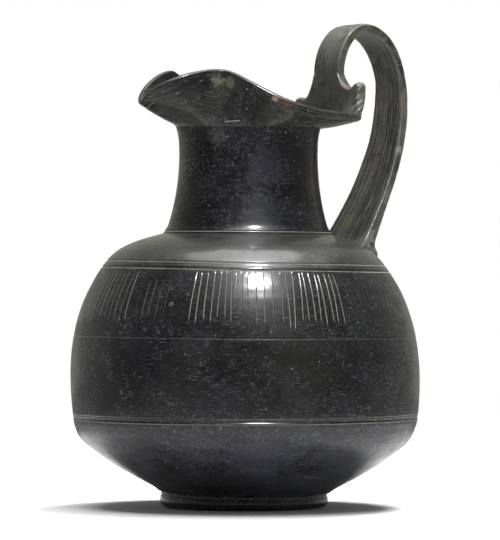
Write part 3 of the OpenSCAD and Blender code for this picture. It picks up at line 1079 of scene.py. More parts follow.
# %% Sections of the sheet
def sheet_section(angle):
    """One section at an angle from the middle of the back. Positive angles hold the tall horn."""
    size = abs(angle)
    outward = limit((size - STRAP_ANGLE) / (SPAN - STRAP_ANGLE))
    rise = keyed(max(size, STRAP_ANGLE), tall_keys if angle > 0 else short_keys)
    if size <= STRAP_ANGLE:
        across = STRAP_WIDTH / 2 * size / STRAP_ANGLE
    else:
        across = mix(STRAP_WIDTH / 2, SPAN / 33 * BACK_REACH * 0.53, outward)
    edge = ease((size - STRAP_ANGLE) / 6)
    end = ease((size - SPAN + 2.5) / 2.5)
    horn = ease((size - SPAN + 9) / 9)
    half = STRAP_THICKNESS / 2 * (1 + 0.15 * edge) * (1 - 0.25 * end)
    top = Vector((strap_start[0] + 1.8 * ease(outward) - 1.0 * horn, -math.copysign(across, angle),
                  neck_top + rise))
    b = 180 + angle
    front, back = lip_in(b, SHEET_ROW), mix(lip_in(b, 1), lip_out(b, 1), 0.75 * horn)
    back += horn * (Vector((0, 0, -0.5)) - 0.5 * lip_inwards(b, 1))
    lowered = Vector((0, 0, -1.4 * edge))
    front_top = top + Vector((-half, 0, 0)) + lowered
    back_top = top + Vector((half, 0, 0)) + lowered
    front_bend = Vector((mix(front.x, front_top.x, 0.75), mix(front.y, front_top.y, 0.6),
                         mix(front.z, front_top.z, 0.22)))
    back_bend = Vector((mix(back.x, back_top.x, 0.8), mix(back.y, back_top.y, 0.55),
                        mix(back.z, back_top.z, 0.35)))

    def bent(p, bend, q, s):
        return (1 - s) ** 2 * p + 2 * s * (1 - s) * bend + s * s * q

    steps = [i / SHEET_RISE_STEPS for i in range(SHEET_RISE_STEPS + 1)]
    points = [bent(front, front_bend, front_top, s) for s in steps]
    points += [mix(front_top, back_top, 0.25) - 0.7 * lowered, top,
               mix(front_top, back_top, 0.75) - 0.7 * lowered]
    points += [bent(back, back_bend, back_top, s) for s in reversed(steps)]
    for j in range(5):
        t = mix(1, SHEET_ROW, j / 4)
        points.append(lip_in(b, t) - SINK_IN_LIP * lip_inwards(b, t))
    return points


def sheet_loops():
    count = round(2 * SPAN / SHEET_STEP)
    return [sheet_section(-SPAN + i * SHEET_STEP) for i in range(count + 1)]


print("sheet sections:", len(sheet_loops()))

# %% [markdown]
# The two skins are joined in one mesh. The Remesh modifier fills it with voxels and wraps a
# new skin round them, and a few rounds of smoothing take the voxel steps away.

# %% Join, remesh and smooth
VOXEL = 0.6
SMOOTH_ROUNDS = 3


def joined(parts):
    """One bmesh from several, by way of a mesh that each is written to in turn."""
    whole = bmesh.new()
    for part in parts:
        mesh = bpy.data.meshes.new("part")
        part.to_mesh(mesh)
        part.free()
        whole.from_mesh(mesh)
        bpy.data.meshes.remove(mesh)
    return whole


def remeshed(bm, voxel):
    mesh = bpy.data.meshes.new("rough")
    bm.to_mesh(mesh)
    bm.free()
    rough = bpy.data.objects.new("rough", mesh)
    bpy.context.scene.collection.objects.link(rough)
    modifier = rough.modifiers.new("voxels", "REMESH")
    modifier.mode = "VOXEL"
    modifier.voxel_size = voxel
    wrapped = rough.evaluated_get(bpy.context.evaluated_depsgraph_get())
    fresh = bmesh.new()
    fresh.from_mesh(wrapped.to_mesh())
    wrapped.to_mesh_clear()
    bpy.data.objects.remove(rough)
    bpy.data.meshes.remove(mesh)
    return fresh


handle_skins = [skinned(loops, closed=False) for loops in (sheet_loops(), strap_loops())]
handle_bm = remeshed(joined(handle_skins), VOXEL)
for _ in range(SMOOTH_ROUNDS):
    bmesh.ops.smooth_vert(handle_bm, verts=handle_bm.verts, factor=0.5,
                          use_axis_x=True, use_axis_y=True, use_axis_z=True)
print("handle vertices:", len(handle_bm.verts))

# %% [markdown]
# A remesh forgets where each point lay along the strap, and the handle's clay needs that:
# its scratches run lengthwise and its borders are worn. A search tree over the centreline
# finds the nearest place again. Each vertex then keeps three numbers: the length along the
# strap, the share of the half width, and how far it is from the middle towards the outside.

# %% Find each point's place on the strap
SAMPLES = 90


def strap_samples():
    samples = []
    length = 0.0
    for number in range(3 * SAMPLES + 1):
        u = min(number / SAMPLES, 2.9999)
        c, t = strap_curves[min(int(u), 2)], u - min(int(u), 2)
        middle = on_curve(c, t)
        if samples:
            length += (middle - samples[-1][1]).length
        samples.append((u, middle, left_of(along_curve(c, t)), length))
    return samples


def place_on_strap(bm):
    run, side, face = (bm.verts.layers.float.new(name) for name in ("run", "side", "face"))
    samples = strap_samples()
    tree = kdtree.KDTree(len(samples))
    for number, (_, middle, _, _) in enumerate(samples):
        tree.insert((middle[0], 0, middle[1]), number)
    tree.balance()
    for v in bm.verts:
        _, number, _ = tree.find((v.co.x, 0, v.co.z))
        u, middle, square, length = samples[number]
        v[run] = length
        v[side] = v.co.y / strap_half(u)
        v[face] = (Vector((v.co.x, v.co.z)) - middle).dot(square) / strap_thick(u) * 2
    return samples[-1][3]


strap_length = place_on_strap(handle_bm)
print(f"strap {strap_length:.0f} mm long")

# %% [markdown]
# The taller horn's end is nicked like a twisted rope, and the whole handle was shaped by
# hand, so its faces wander by a few tenths of a millimetre.

# %% Handmade marks on the handle
NICK_DEPTH = 0.62
NICK_PITCH = 4.2
HAND_WAVE = 0.28


def nick_horn(bm):
    lime = bm.verts.layers.float.new("lime")
    bm.normal_update()
    for v in bm.verts:
        angle = math.degrees(math.atan2(-v.co.y, v.co.x))
        near = ease((angle - SPAN + 3.2) / 1.5) * ease((v.co.z - neck_top - 5) / 3)
        cut = max(0.0, math.sin(math.tau * (v.co.z - 0.8 * v.co.dot(rightward)) / NICK_PITCH)) ** 3
        wander = noise.noise(v.co / 13) + 0.35 * noise.noise(v.co / 4.5)
        v.co -= (NICK_DEPTH * near * cut + HAND_WAVE * wander) * v.normal
        v[lime] = 0.8 * near * cut


nick_horn(handle_bm)
handle = finish_piece(handle_bm, "handle", "handle_clay", "handle_saddle", "tall_horn", "short_horn",
                      "handle_strap", "handle_root", sharp=180)

# %% [markdown]
# ## The clay
# Burnished black clay is smoke-blackened all through and polished with a pebble. Each rub of
# the pebble left a level streak, and centuries left hair scratches, pale lime, specks and
# cloudy patches where the gloss went blind. Each effect is a node group, built once, with
# the pot's own places as its measure: Object coordinates in millimetres.

# %% Group helper
def new_group(name, inputs, output):
    """A node group with number inputs, given with their defaults, and one number output."""
    tree = bpy.data.node_groups.new(name, "ShaderNodeTree")
    for label, default in inputs.items():
        kind = "NodeSocketVector" if hasattr(default, "__len__") else "NodeSocketFloat"
        tree.interface.new_socket(label, in_out="INPUT", socket_type=kind).default_value = default
    tree.interface.new_socket(output, in_out="OUTPUT", socket_type="NodeSocketFloat")
    start, end = tree.nodes.new("NodeGroupInput"), tree.nodes.new("NodeGroupOutput")
    return tree, start.outputs, end.inputs[output]


def fill_group(tree, group, inputs):
    node = add_node(tree, "Group", node_tree=group)
    for label, value in inputs.items():
        wire(tree, value, node.inputs[label])
    return node.outputs[0]


print("group helpers ready")

# %% [markdown]
# Nearly every pattern here is noise. It takes a place, and a place can be turned and
# stretched first, which draws the pattern out. Voronoi cells are the other source: scattered
# points, each with random numbers of its own.

# %% Pattern helpers
def in_mm(tree):
    place = add_node(tree, "TexCoord").outputs["Object"]
    return add_node(tree, "VectorMath", {0: place, "Scale": 1 / MM}, operation="SCALE").outputs["Vector"]


def triple(tree, x, y, z=0.0):
    return add_node(tree, "CombineXYZ", {0: x, 1: y, 2: z}).outputs[0]


def noise_at(tree, vector, scale, detail=2.0, rough=0.5, twist=0.0):
    return add_node(tree, "TexNoise", {"Vector": vector, "Scale": scale, "Detail": detail,
                                       "Roughness": rough, "Distortion": twist}).outputs["Fac"]


def stretched(tree, vector, scale, turn=(0, 0, 0), shift=(0, 0, 0)):
    """Coordinates turned, then divided by the scale, so that a pattern grows by it."""
    return add_node(tree, "Mapping", {"Vector": vector, "Scale": scale, "Rotation": turn, "Location": shift},
                    vector_type="TEXTURE").outputs["Vector"]


def cells_at(tree, vector, scale, dimensions):
    """How far the nearest scattered point is, and three random numbers that belong to it."""
    cells = add_node(tree, "TexVoronoi", {"Vector": vector, "Scale": scale}, voronoi_dimensions=dimensions)
    return cells.outputs["Distance"], add_node(tree, "SeparateColor", {0: cells.outputs["Color"]}).outputs


print("pattern helpers ready")

# %% [markdown]
# The pebble's streaks are noise drawn out round the pot and kept short in height.

# %% Burnish streaks
STREAK_REACH, WIDE_REACH = 34.0, 70.0


def build_streaks():
    tree, given, out = new_group("burnish_streaks", {"Height": 1.6}, "Streak")
    place = in_mm(tree)
    scale = triple(tree, STREAK_REACH, STREAK_REACH, given["Height"])
    wide_scale = triple(tree, WIDE_REACH, WIDE_REACH, times(tree, given["Height"], 4))
    fine = noise_at(tree, stretched(tree, place, scale), 1.0, 3.0, 0.55)
    wide = noise_at(tree, stretched(tree, place, wide_scale), 1.0, 2.0, 0.5)
    wire(tree, span(tree, plus(tree, times(tree, fine, 0.6), times(tree, wide, 0.4)), 0.34, 0.68), out)
    return tree


streaks = build_streaks()
print("built", streaks.name)

# %% [markdown]
# Hair scratches are thin ellipses. The surface is unrolled to two numbers, the length round
# the pot and the length up its wall, and a Voronoi pattern of points is stretched over it:
# near each point a long thin ellipse is left. Several turned layers cross each other, and
# noise keeps them in patches. The seam of the unrolling is turned behind the handle.

# %% Scratches
ScratchLayer = namedtuple("ScratchLayer", "turn length width share")
scratch_layers = [
    ScratchLayer(5, 62, 2.2, 0.085),
    ScratchLayer(-38, 44, 2.6, 0.075),
    ScratchLayer(57, 38, 2.4, 0.08),
    ScratchLayer(101, 15, 2.2, 0.12),
    ScratchLayer(-74, 24, 2.3, 0.09),
    ScratchLayer(-12, 12, 1.9, 0.13),
]
WAVER = (4, 4, 0)


def unrolled(tree, girth, lean):
    place = add_node(tree, "SeparateXYZ", {0: in_mm(tree)}).outputs
    angle = calc(tree, "ARCTAN2", place[1], times(tree, place[0], -1.0))
    squares = plus(tree, times(tree, place[0], place[0]), times(tree, place[1], place[1]))
    height = plus(tree, place[2], times(tree, calc(tree, "SQRT", squares), lean))
    return triple(tree, times(tree, angle, girth), height)


def ellipses(tree, plane, layer, number):
    """A mask of the thin ellipses of one layer, each with its own strength."""
    laid = stretched(tree, plane, (layer.length, layer.width, 1), (0, 0, math.radians(layer.turn)),
                     (17.0 * number, 5.3 * number, 0))
    far, chance = cells_at(tree, laid, 1.0, "2D")
    near = span(tree, far, layer.share * 0.35, layer.share, 1.0, 0.0)
    return times(tree, near, calc(tree, "POWER", chance[0], 1.3))


def build_scratches():
    tree, given, out = new_group("hair_scratches", {"Girth": 90.0, "Lean": -1.0, "Amount": 0.5}, "Mask")
    plane = unrolled(tree, given["Girth"], given["Lean"])
    bent = add_node(tree, "TexNoise", {"Vector": plane, "Scale": 0.06, "Detail": 3.0}).outputs["Color"]
    wavy = add_node(tree, "VectorMath", {0: bent, 1: WAVER, 2: plane}, operation="MULTIPLY_ADD").outputs[0]
    total = 0.0
    for number, layer in enumerate(scratch_layers):
        total = larger(tree, ellipses(tree, wavy, layer, number), total)
    floor = calc(tree, "SUBTRACT", 0.66, times(tree, given["Amount"], 0.4))
    kept = span(tree, noise_at(tree, plane, 0.045, 3.0, 0.6), floor, plus(tree, floor, 0.16))
    wire(tree, times(tree, total, kept), out)
    return tree


scratches = build_scratches()
print("built", scratches.name)

# %% [markdown]
# Specks are small round dots that a Voronoi pattern leaves where a cell's own chance is
# high. Clouds are plain soft noise. Flecks are short level scuffs, fine noise drawn out round
# the pot and kept in patches.

# %% Specks, clouds and flecks
def build_specks():
    tree, given, out = new_group("specks", {"Size": 3.0, "Amount": 0.3}, "Mask")
    far, chance = cells_at(tree, in_mm(tree), calc(tree, "DIVIDE", 1.0, given["Size"]), "3D")
    reach = larger(tree, times(tree, chance[1], 0.17), 0.02)
    dot = span(tree, calc(tree, "DIVIDE", far, reach), 0.5, 1.0, 1.0, 0.0)
    wire(tree, times(tree, dot, calc(tree, "GREATER_THAN", given["Amount"], chance[0])), out)
    return tree


def build_clouds():
    tree, given, out = new_group("clouds", {"Size": 30.0, "Shift": 0.0}, "Mask")
    place = vector(tree, "ADD", in_mm(tree), triple(tree, given["Shift"], given["Shift"]))
    scale = calc(tree, "DIVIDE", 1.0, given["Size"])
    wire(tree, span(tree, noise_at(tree, place, scale, 7.0, 0.72, 0.5), 0.42, 0.62), out)
    return tree


def build_flecks():
    tree, given, out = new_group("worn_flecks", {"Girth": 90.0, "Lean": -1.0, "Amount": 0.5}, "Mask")
    plane = unrolled(tree, given["Girth"], given["Lean"])
    fine = noise_at(tree, stretched(tree, plane, (4.4, 1.1, 1.0)), 1.0, 5.0, 0.72, 0.4)
    floor = calc(tree, "SUBTRACT", 0.62, times(tree, given["Amount"], 0.35))
    gate = span(tree, noise_at(tree, plane, 0.05, 4.0, 0.65), floor, plus(tree, floor, 0.20), 0.08, 1.0)
    wire(tree, times(tree, span(tree, fine, 0.52, 0.72), gate), out)
    return tree


specks, clouds, flecks = build_specks(), build_clouds(), build_flecks()
print("built", specks.name, clouds.name, flecks.name)

# %% [markdown]
# Some marks belong to one place. A soft ball round that place with a ragged edge serves for
# a stain and for a patch of painted sheen, and a nick is the closeness to a short line
# between two points.

# %% Stains, painted sheens and nicks
def build_stain_and_sheen():
    tree, given, out = new_group("stain_and_sheen", {"Centre": (0, 0, 0), "Reach": 10.0, "Ragged": 0.5}, "Mask")
    place = in_mm(tree)
    far = calc(tree, "DIVIDE", vector(tree, "DISTANCE", place, given["Centre"], "Value"), given["Reach"])
    uneven = calc(tree, "SUBTRACT", noise_at(tree, place, 0.35, 4.0, 0.65), 0.5)
    rough = times(tree, uneven, times(tree, given["Ragged"], 3.0))
    wire(tree, span(tree, plus(tree, far, rough), 0.35, 1.0, 1.0, 0.0), out)
    return tree


def build_nick():
    tree, given, out = new_group("nick", {"Start": (0, 0, 0), "End": (0, 0, 1), "Width": 0.5}, "Mask")
    line = vector(tree, "SUBTRACT", given["End"], given["Start"])
    off = vector(tree, "SUBTRACT", in_mm(tree), given["Start"])
    share = calc(tree, "DIVIDE", vector(tree, "DOT_PRODUCT", off, line, "Value"),
                 vector(tree, "DOT_PRODUCT", line, line, "Value"), clamp=True)
    nearest = add_node(tree, "VectorMath", {0: line, "Scale": share}, operation="SCALE").outputs["Vector"]
    far = calc(tree, "DIVIDE", vector(tree, "DISTANCE", off, nearest, "Value"), given["Width"])
    wire(tree, span(tree, far, 0.35, 1.0, 1.0, 0.0), out)
    return tree


stain_and_sheen, nick = build_stain_and_sheen(), build_nick()
print("built", stain_and_sheen.name, nick.name)

# %% [markdown]
# Wear and the dark of the hollows come from the bend that each vertex keeps: high where an
# edge is rubbed lighter, low where a hollow is painted dark, partly grime and partly painted
# shade. Noise breaks the wear into patches. Lime is the other kept number: the pale filling
# of grooves and strokes, which has dropped out in places.

# %% Wear, grime with painted shade, and lime
def attribute(tree, name):
    return add_node(tree, "Attribute", attribute_name=name, attribute_type="GEOMETRY").outputs["Fac"]


def build_wear():
    tree, given, out = new_group("rubbed_edge", {"From": 0.25, "To": 0.9}, "Mask")
    broken = span(tree, noise_at(tree, in_mm(tree), 0.22, 4.0, 0.65), 0.36, 0.62)
    edge = span(tree, attribute(tree, "bend"), given["From"], given["To"])
    wire(tree, times(tree, edge, broken), out)
    return tree


# Hollows are painted darker: partly grime, partly painted shade where less light reaches.
def build_dirt_and_shade():
    tree, given, out = new_group("dirt_and_shade_in_hollows", {"From": 0.12, "To": 0.7}, "Mask")
    deep = times(tree, attribute(tree, "bend"), -1.0)
    wire(tree, span(tree, deep, given["From"], given["To"]), out)
    return tree


def build_lime():
    tree, given, out = new_group("lime_filling", {"Broken": 0.7}, "Mask")
    patches = noise_at(tree, in_mm(tree), 0.10, 6.0, 0.75)
    low = times(tree, given["Broken"], 0.5)
    kept = span(tree, patches, low, plus(tree, low, 0.25), 0.12, 1.0)
    wire(tree, times(tree, span(tree, attribute(tree, "lime"), 0.10, 0.85), kept), out)
    return tree


wear, dirt_and_shade, lime_filling = build_wear(), build_dirt_and_shade(), build_lime()
print("groups:", sorted(group.name for group in bpy.data.node_groups))

# %% [markdown]
# A clay's colour is built up in layers, from the bare clay to the lime that settled last.
# Each layer is a mask, how strongly it covers, and its colour. Stains and patches of
# painted sheen become layers too.

# %% Layers of colour
StainAndSheen = namedtuple("StainAndSheen", "centre reach colour strength ragged")
Nick = namedtuple("Nick", "start end width strength")
PALE_SCRATCH, LIME, SPECK = (0.30, 0.31, 0.32), (0.44, 0.43, 0.37), (0.50, 0.48, 0.42)
# Rubbed edges, and the near-black of grime and painted shade in hollows.
RUBBED, DIRT_AND_SHADE = (0.09, 0.088, 0.074), (0.004, 0.004, 0.003)
SCUFF = (0.150, 0.155, 0.165)


def layered(tree, colour, layers):
    for mask, strength, over in layers:
        colour = blend(tree, times(tree, mask, strength), colour, over)
    return colour


def stain_and_sheen_layers(tree, stains_and_sheens, broken=1.0):
    """One layer for each placed stain and each patch of painted sheen, broken up by a mask where one is
    given.
    """
    for spot in stains_and_sheens:
        mask = fill_group(tree, stain_and_sheen, {"Centre": spot.centre, "Reach": spot.reach, "Ragged": spot.ragged})
        yield times(tree, mask, broken), spot.strength, spot.colour


def with_nicks(tree, marks, nicks):
    for cut in nicks:
        mask = fill_group(tree, nick, {"Start": cut.start, "End": cut.end, "Width": cut.width})
        marks = larger(tree, marks, times(tree, mask, cut.strength))
    return marks


def set_bump(tree, surface, relief, strength):
    """Relief in millimetres, as a bump in the shader."""
    bump = add_node(tree, "Bump", {"Height": relief, "Distance": MM, "Strength": strength})
    wire(tree, bump.outputs["Normal"], surface.inputs["Normal"])


print("layer helpers ready")

# %% [markdown]
# One function mixes the effects into a clay, and each part of the jug gives its own values:
# how blue or olive the black is, how blind the gloss, and how scratched. A thin clear coat
# over a rougher base gives the double gloss of burnished clay: a small sharp reflection in
# a broad soft one. Pale marks, worn edges and scuffs have lost the coat.

# %% Burnished clay
Clay = namedtuple("Clay", "dark tint haze girth lean scratch blind rough gloss sheen")
COAT_ROUGHNESS = 0.17
SCUFF_AMOUNT = 0.72


def burnished(name, clay, stains_and_sheens=(), nicks=()):
    material, tree, surface = new_material(name)
    skin = {"Girth": clay.girth, "Lean": clay.lean}
    streak = fill_group(tree, streaks, {"Height": 1.6})
    haze = fill_group(tree, clouds, {"Size": 26.0, "Shift": 40.0})
    patch = fill_group(tree, clouds, {"Size": 60.0, "Shift": -75.0})
    scuffs = fill_group(tree, flecks, {**skin, "Amount": SCUFF_AMOUNT})
    edge = fill_group(tree, wear, {"From": 0.25, "To": 0.9})
    # hollow: grime and painted shade darken the hollows.
    hollow = fill_group(tree, dirt_and_shade, {"From": 0.12, "To": 0.7})
    lime = fill_group(tree, lime_filling, {"Broken": 0.5})
    speck = times(tree, fill_group(tree, specks, {"Size": 3.4, "Amount": 0.22}), 0.7)
    grain = noise_at(tree, in_mm(tree), 2.2, 3.0, 0.6)
    scratch = fill_group(tree, scratches, {**skin, "Amount": clay.scratch})
    marks = with_nicks(tree, times(tree, scratch, 0.42), nicks)
    layers = [(haze, clay.blind, clay.haze), (streak, 0.25, clay.tint), (scuffs, 0.8, SCUFF),
              *stain_and_sheen_layers(tree, stains_and_sheens, span(tree, grain, 0.36, 0.60, 0.35, 1.0)),
              (edge, 0.65, RUBBED), (hollow, 0.6, DIRT_AND_SHADE), (marks, 1.0, PALE_SCRATCH), (speck, 1.0, SPECK),
              (lime, 1.0, LIME)]
    colour = layered(tree, blend(tree, patch, clay.dark, clay.tint), layers)
    wire(tree, colour, surface.inputs["Base Color"])

    pale = larger(tree, larger(tree, marks, lime), speck)
    rough = plus(tree, times(tree, haze, 0.16), times(tree, streak, 0.08))
    rough = plus(tree, rough, times(tree, larger(tree, pale, edge), 0.28))
    wire(tree, plus(tree, rough, clay.rough, clamp=True), surface.inputs["Roughness"])
    coat = calc(tree, "SUBTRACT", clay.gloss, times(tree, haze, clay.gloss * 0.35))
    dulled = larger(tree, pale, larger(tree, edge, times(tree, scuffs, 0.7)))
    coat = times(tree, coat, calc(tree, "SUBTRACT", 1.0, dulled), clamp=True)
    wire(tree, coat, surface.inputs["Coat Weight"])
    surface.inputs["Coat Roughness"].default_value = COAT_ROUGHNESS
    surface.inputs["Specular IOR Level"].default_value = clay.sheen

    relief = plus(tree, times(tree, streak, 0.05), times(tree, grain, 0.05))
    relief = calc(tree, "SUBTRACT", relief, times(tree, marks, 0.12))
    set_bump(tree, surface, plus(tree, relief, times(tree, haze, 0.05)), 0.8)
    return material


print("burnished clay takes", len(Clay._fields), "values")

# %% [markdown]
# The larger stains, scratches and nicks sit where they are on the real jug. Two bluish
# patches on the neck are a painted reflection of the window light, and two bluish patches
# on the cone are haze with a painted sheen. Each is placed by a point of the surface in
# millimetres.

# %% Marks in their own places
stains_and_sheens = {
    # These two bluish patches are haze with a painted sheen of the bright room on the cone's roll.
    "cone_black": [StainAndSheen((-48, -79, 34), 24, (0.060, 0.060, 0.074), 0.6, 0.8),
                   StainAndSheen((-74, -65, 39), 20, (0.055, 0.056, 0.066), 0.6, 0.8)],
    "belly_black": [StainAndSheen((-86, -51.5, 126), 1.7, (0.25, 0.25, 0.22), 0.7, 1.0),
                    StainAndSheen((-29, -104, 92), 34, (0.030, 0.028, 0.022), 0.6, 0.8)],
    "shoulder_black": [StainAndSheen((-2, -84, 152), 9, (0.20, 0.20, 0.18), 0.3, 1.4),
                       StainAndSheen((-77, -13, 159), 17, (0.006, 0.006, 0.006), 0.8, 0.7)],
    "neck_black": [StainAndSheen((31, -33, 203), 14, (0.070, 0.032, 0.014), 0.7, 0.7),
                   # These two bluish patches are a painted reflection: the window light's soft band down the
                   # neck.
                   StainAndSheen((-14, -41, 209), 18, (0.050, 0.052, 0.064), 0.7, 0.9),
                   StainAndSheen((-17, -46, 178), 22, (0.050, 0.053, 0.066), 0.7, 0.9),
                   StainAndSheen((-35, -24, 228), 8, (0.10, 0.10, 0.10), 0.5, 1.3)],
    "lip_black": [StainAndSheen((-10.6, -50, 250), 3.0, (0.36, 0.29, 0.21), 0.9, 0.5),
                  StainAndSheen((-5, -53, 247), 7, (0.14, 0.06, 0.035), 0.6, 0.8),
                  StainAndSheen((-36, -24, 261), 5, (0.22, 0.22, 0.14), 0.8, 0.7),
                  StainAndSheen((-30, -29.3, 260), 4, (0.19, 0.19, 0.11), 0.7, 0.7),
                  StainAndSheen((-36, -25, 235), 8, (0.12, 0.12, 0.12), 0.5, 1.3)],
}
nicks = {
    "cone_black": [Nick((-49.7, -92, 45.2), (-44.9, -94.4, 45.2), 0.45, 0.8),
                   Nick((-4.8, -73.8, 21.3), (6.3, -72.4, 20.4), 0.40, 0.7),
                   Nick((-73, -78, 50.6), (-70.6, -77.5, 45.8), 0.40, 0.7)],
    "belly_black": [Nick((-68.3, -81.5, 104.4), (-72.3, -81.2, 85), 0.40, 0.5),
                    Nick((-89.3, -62.8, 75.3), (-86.3, -66.9, 76), 0.45, 0.8),
                    Nick((-60.3, -90.9, 74.4), (-56.8, -93.1, 74.4), 0.45, 0.8),
                    Nick((-100.8, 15.2, 123.3), (-101, 8.9, 124.6), 0.45, 0.7)],
    "shoulder_black": [Nick((-12.8, -80.3, 154.8), (2.2, -77.4, 157.8), 0.45, 0.5)],
    "lip_black": [Nick((-60.1, -15.9, 253), (-46, -21.9, 261), 0.7, 0.55),
                  Nick((-32.8, -28.4, 236.2), (-26.9, -34.8, 236.7), 0.5, 0.9)],
}
print("stains:", sum(map(len, stains_and_sheens.values())), "nicks:", sum(map(len, nicks.values())))

# %% [markdown]
# The cone and neck are the bluest black, the belly turns olive in patches, and the lip is a
# little lighter and greyer. The shoulder is lighter and greyer too: partly its own clay, and
# partly a painted sheen of the overhead light on the dome.

# %% The five burnished clays
BLUE_BLACK, OLIVE = (0.004, 0.004, 0.0055), (0.010, 0.0105, 0.008)
BLUE_HAZE, GREY_HAZE = (0.036, 0.038, 0.048), (0.045, 0.045, 0.038)
# The shoulder's colours are lighter than the belly's: partly its own greyer clay, partly a painted sheen of
# the overhead light.
SHOULDER_DARK_WITH_SHEEN, SHOULDER_TINT_WITH_SHEEN = (0.010, 0.010, 0.010), (0.022, 0.022, 0.017)
LIP_DARK, LIP_TINT = (0.009, 0.009, 0.010), (0.016, 0.016, 0.013)
CONE_TINT, NECK_TINT = (0.008, 0.008, 0.009), (0.006, 0.006, 0.007)
clays = {
    "cone_black": Clay(BLUE_BLACK, CONE_TINT, BLUE_HAZE, 80, 1.0, 0.75, 0.8, 0.36, 0.5, 0.20),
    "belly_black": Clay(BLUE_BLACK, OLIVE, BLUE_HAZE, 98, -1.0, 0.55, 0.24, 0.34, 0.55, 0.18),
    "shoulder_black": Clay(SHOULDER_DARK_WITH_SHEEN, SHOULDER_TINT_WITH_SHEEN, GREY_HAZE, 75, -1.0, 0.5, 0.55, 0.38, 0.6, 0.42),
    "neck_black": Clay(BLUE_BLACK, NECK_TINT, BLUE_HAZE, 47, 0.0, 0.6, 0.26, 0.36, 0.5, 0.15),
    "lip_black": Clay(LIP_DARK, LIP_TINT, GREY_HAZE, 60, 0.0, 0.6, 0.6, 0.38, 0.5, 0.20),
}
materials = {name: burnished(name, clay, stains_and_sheens[name], nicks.get(name, ())) for name, clay in clays.items()}
print("clays:", sorted(materials))

# %% [markdown]
# The handle was harder to reach with the pebble: it is duller, greyer and more olive, with
# lengthwise scratches in its channel and light borders. Its patterns follow the three
# numbers kept on each vertex, so they bend with the strap. The rising face, up to the arch,
# is smoother than the rest.

# %% Handle clay
HANDLE_DARK, HANDLE_OLIVE, HANDLE_PALE = (0.018, 0.018, 0.016), (0.115, 0.115, 0.092), (0.23, 0.225, 0.185)
HANDLE_RUBBED = (0.17, 0.165, 0.14)
CHANNEL_BLACK = (0.007, 0.007, 0.007)
CHANNEL_STARTS = (70.0, 105.0)
PAST_ARCH = (45.0, 95.0)
HANDLE_COAT_ROUGHNESS = 0.22


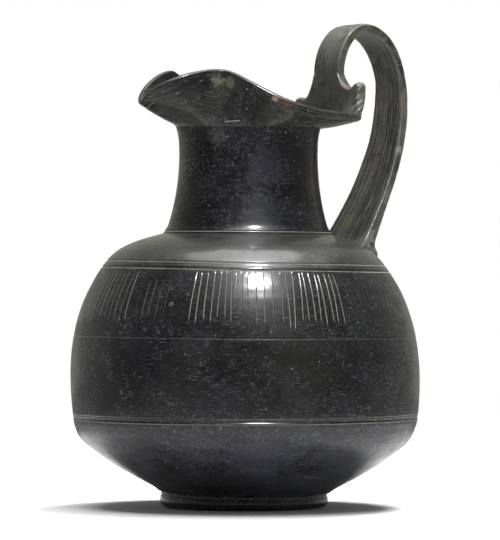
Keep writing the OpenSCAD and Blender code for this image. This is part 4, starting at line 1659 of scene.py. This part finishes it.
def handle_clay(stains_and_sheens):
    material, tree, surface = new_material("handle_grey_black")
    run, side, face = (attribute(tree, name) for name in ("run", "side", "face"))
    lengthwise = triple(tree, times(tree, run, 0.035), times(tree, side, 9.0), times(tree, face, 1.5))
    lines = noise_at(tree, lengthwise, 1.0, 4.0, 0.6)
    haze = fill_group(tree, clouds, {"Size": 16.0, "Shift": 20.0})
    patch = fill_group(tree, clouds, {"Size": 38.0, "Shift": -35.0})
    scratch = fill_group(tree, scratches, {"Girth": 110.0, "Lean": 0.3, "Amount": 0.75})
    speck = fill_group(tree, specks, {"Size": 2.6, "Amount": 0.35})
    edge = fill_group(tree, wear, {"From": 0.12, "To": 0.5})
    # hollow: grime and painted shade darken the handle's hollows.
    hollow = fill_group(tree, dirt_and_shade, {"From": 0.10, "To": 0.5})
    lime = fill_group(tree, lime_filling, {"Broken": 0.45})
    grain = noise_at(tree, in_mm(tree), 1.8, 4.0, 0.65)
    marks = times(tree, scratch, 0.5)

    middle = span(tree, calc(tree, "ABSOLUTE", plus(tree, side, 0.42)), 0.26, 0.52, 1.0, 0.0)
    inner = span(tree, face, -0.9, -0.45, 1.0, 0.0)
    channel = times(tree, times(tree, middle, inner), span(tree, run, *CHANNEL_STARTS))
    past_arch = span(tree, run, *PAST_ARCH, 0.25, 1.0)
    lit_lines = span(tree, lines, 0.52, 0.68, 0.0, 0.75)
    layers = [(patch, 0.5, HANDLE_OLIVE), (channel, span(tree, lines, 0.42, 0.58, 1.0, 0.45), CHANNEL_BLACK),
              (lit_lines, past_arch, HANDLE_PALE), *stain_and_sheen_layers(tree, stains_and_sheens), (edge, 0.75, HANDLE_RUBBED),
              (hollow, 0.7, DIRT_AND_SHADE), (marks, 1.0, PALE_SCRATCH), (speck, 0.6, SPECK), (lime, 1.0, LIME)]
    colour = layered(tree, blend(tree, haze, HANDLE_DARK, HANDLE_OLIVE), layers)
    wire(tree, colour, surface.inputs["Base Color"])

    rough = plus(tree, 0.44, times(tree, haze, 0.14))
    rough = plus(tree, rough, times(tree, larger(tree, marks, lime), 0.2), clamp=True)
    wire(tree, rough, surface.inputs["Roughness"])
    wire(tree, times(tree, calc(tree, "SUBTRACT", 1.0, haze), 0.3), surface.inputs["Coat Weight"])
    surface.inputs["Coat Roughness"].default_value = HANDLE_COAT_ROUGHNESS
    relief = plus(tree, times(tree, times(tree, lines, 0.35), past_arch), times(tree, grain, 0.14))
    set_bump(tree, surface, calc(tree, "SUBTRACT", relief, times(tree, marks, 0.15)), 0.7)
    return material


print("the handle's clay has a coat roughness of", HANDLE_COAT_ROUGHNESS)

# %% [markdown]
# The handle has stains of its own: most are brown or olive, and two are pale, on a border
# and at the root.

# %% Stains on the handle
handle_stains = [
    StainAndSheen((61.7, -22.3, 258), 9, (0.12, 0.07, 0.048), 0.8, 0.6),
    StainAndSheen((108.8, -14.8, 250.7), 7, (0.17, 0.11, 0.075), 0.8, 0.8),
    StainAndSheen((102.2, 4.3, 223), 5, (0.15, 0.12, 0.07), 0.7, 0.7),
    StainAndSheen((99.8, 2, 213), 6, (0.15, 0.12, 0.07), 0.7, 0.7),
    StainAndSheen((103.4, -17, 221.7), 3.4, (0.32, 0.32, 0.29), 0.8, 0.6),
    StainAndSheen((81.6, 6.7, 177.2), 7, (0.14, 0.14, 0.06), 0.7, 0.7),
    StainAndSheen((76.9, -23.2, 165.7), 7, (0.28, 0.27, 0.24), 0.6, 1.2),
    StainAndSheen((73.2, -13.2, 293), 6, (0.13, 0.13, 0.06), 0.7, 0.7),
    StainAndSheen((107.1, 5.9, 256.5), 8, (0.12, 0.075, 0.062), 0.7, 0.7),
    StainAndSheen((66, -2, 290), 14, (0.15, 0.155, 0.13), 0.7, 0.6),
]
materials["handle"] = handle_clay(handle_stains)
print("handle stains:", len(handle_stains))

# %% [markdown]
# Each piece now gets its clay. The foot shares the cone's, and the collar the shoulder's, as
# the pieces beside them.

# %% Dress the pieces
for piece, name in ((foot, "cone_black"), (lower, "cone_black"), (belly, "belly_black"),
                    (shoulder, "shoulder_black"), (collar, "shoulder_black"), (neck, "neck_black"),
                    (mouth, "lip_black"), (handle, "handle")):
    piece.data.materials.append(materials[name])
print("finishes:", len(bpy.data.materials))
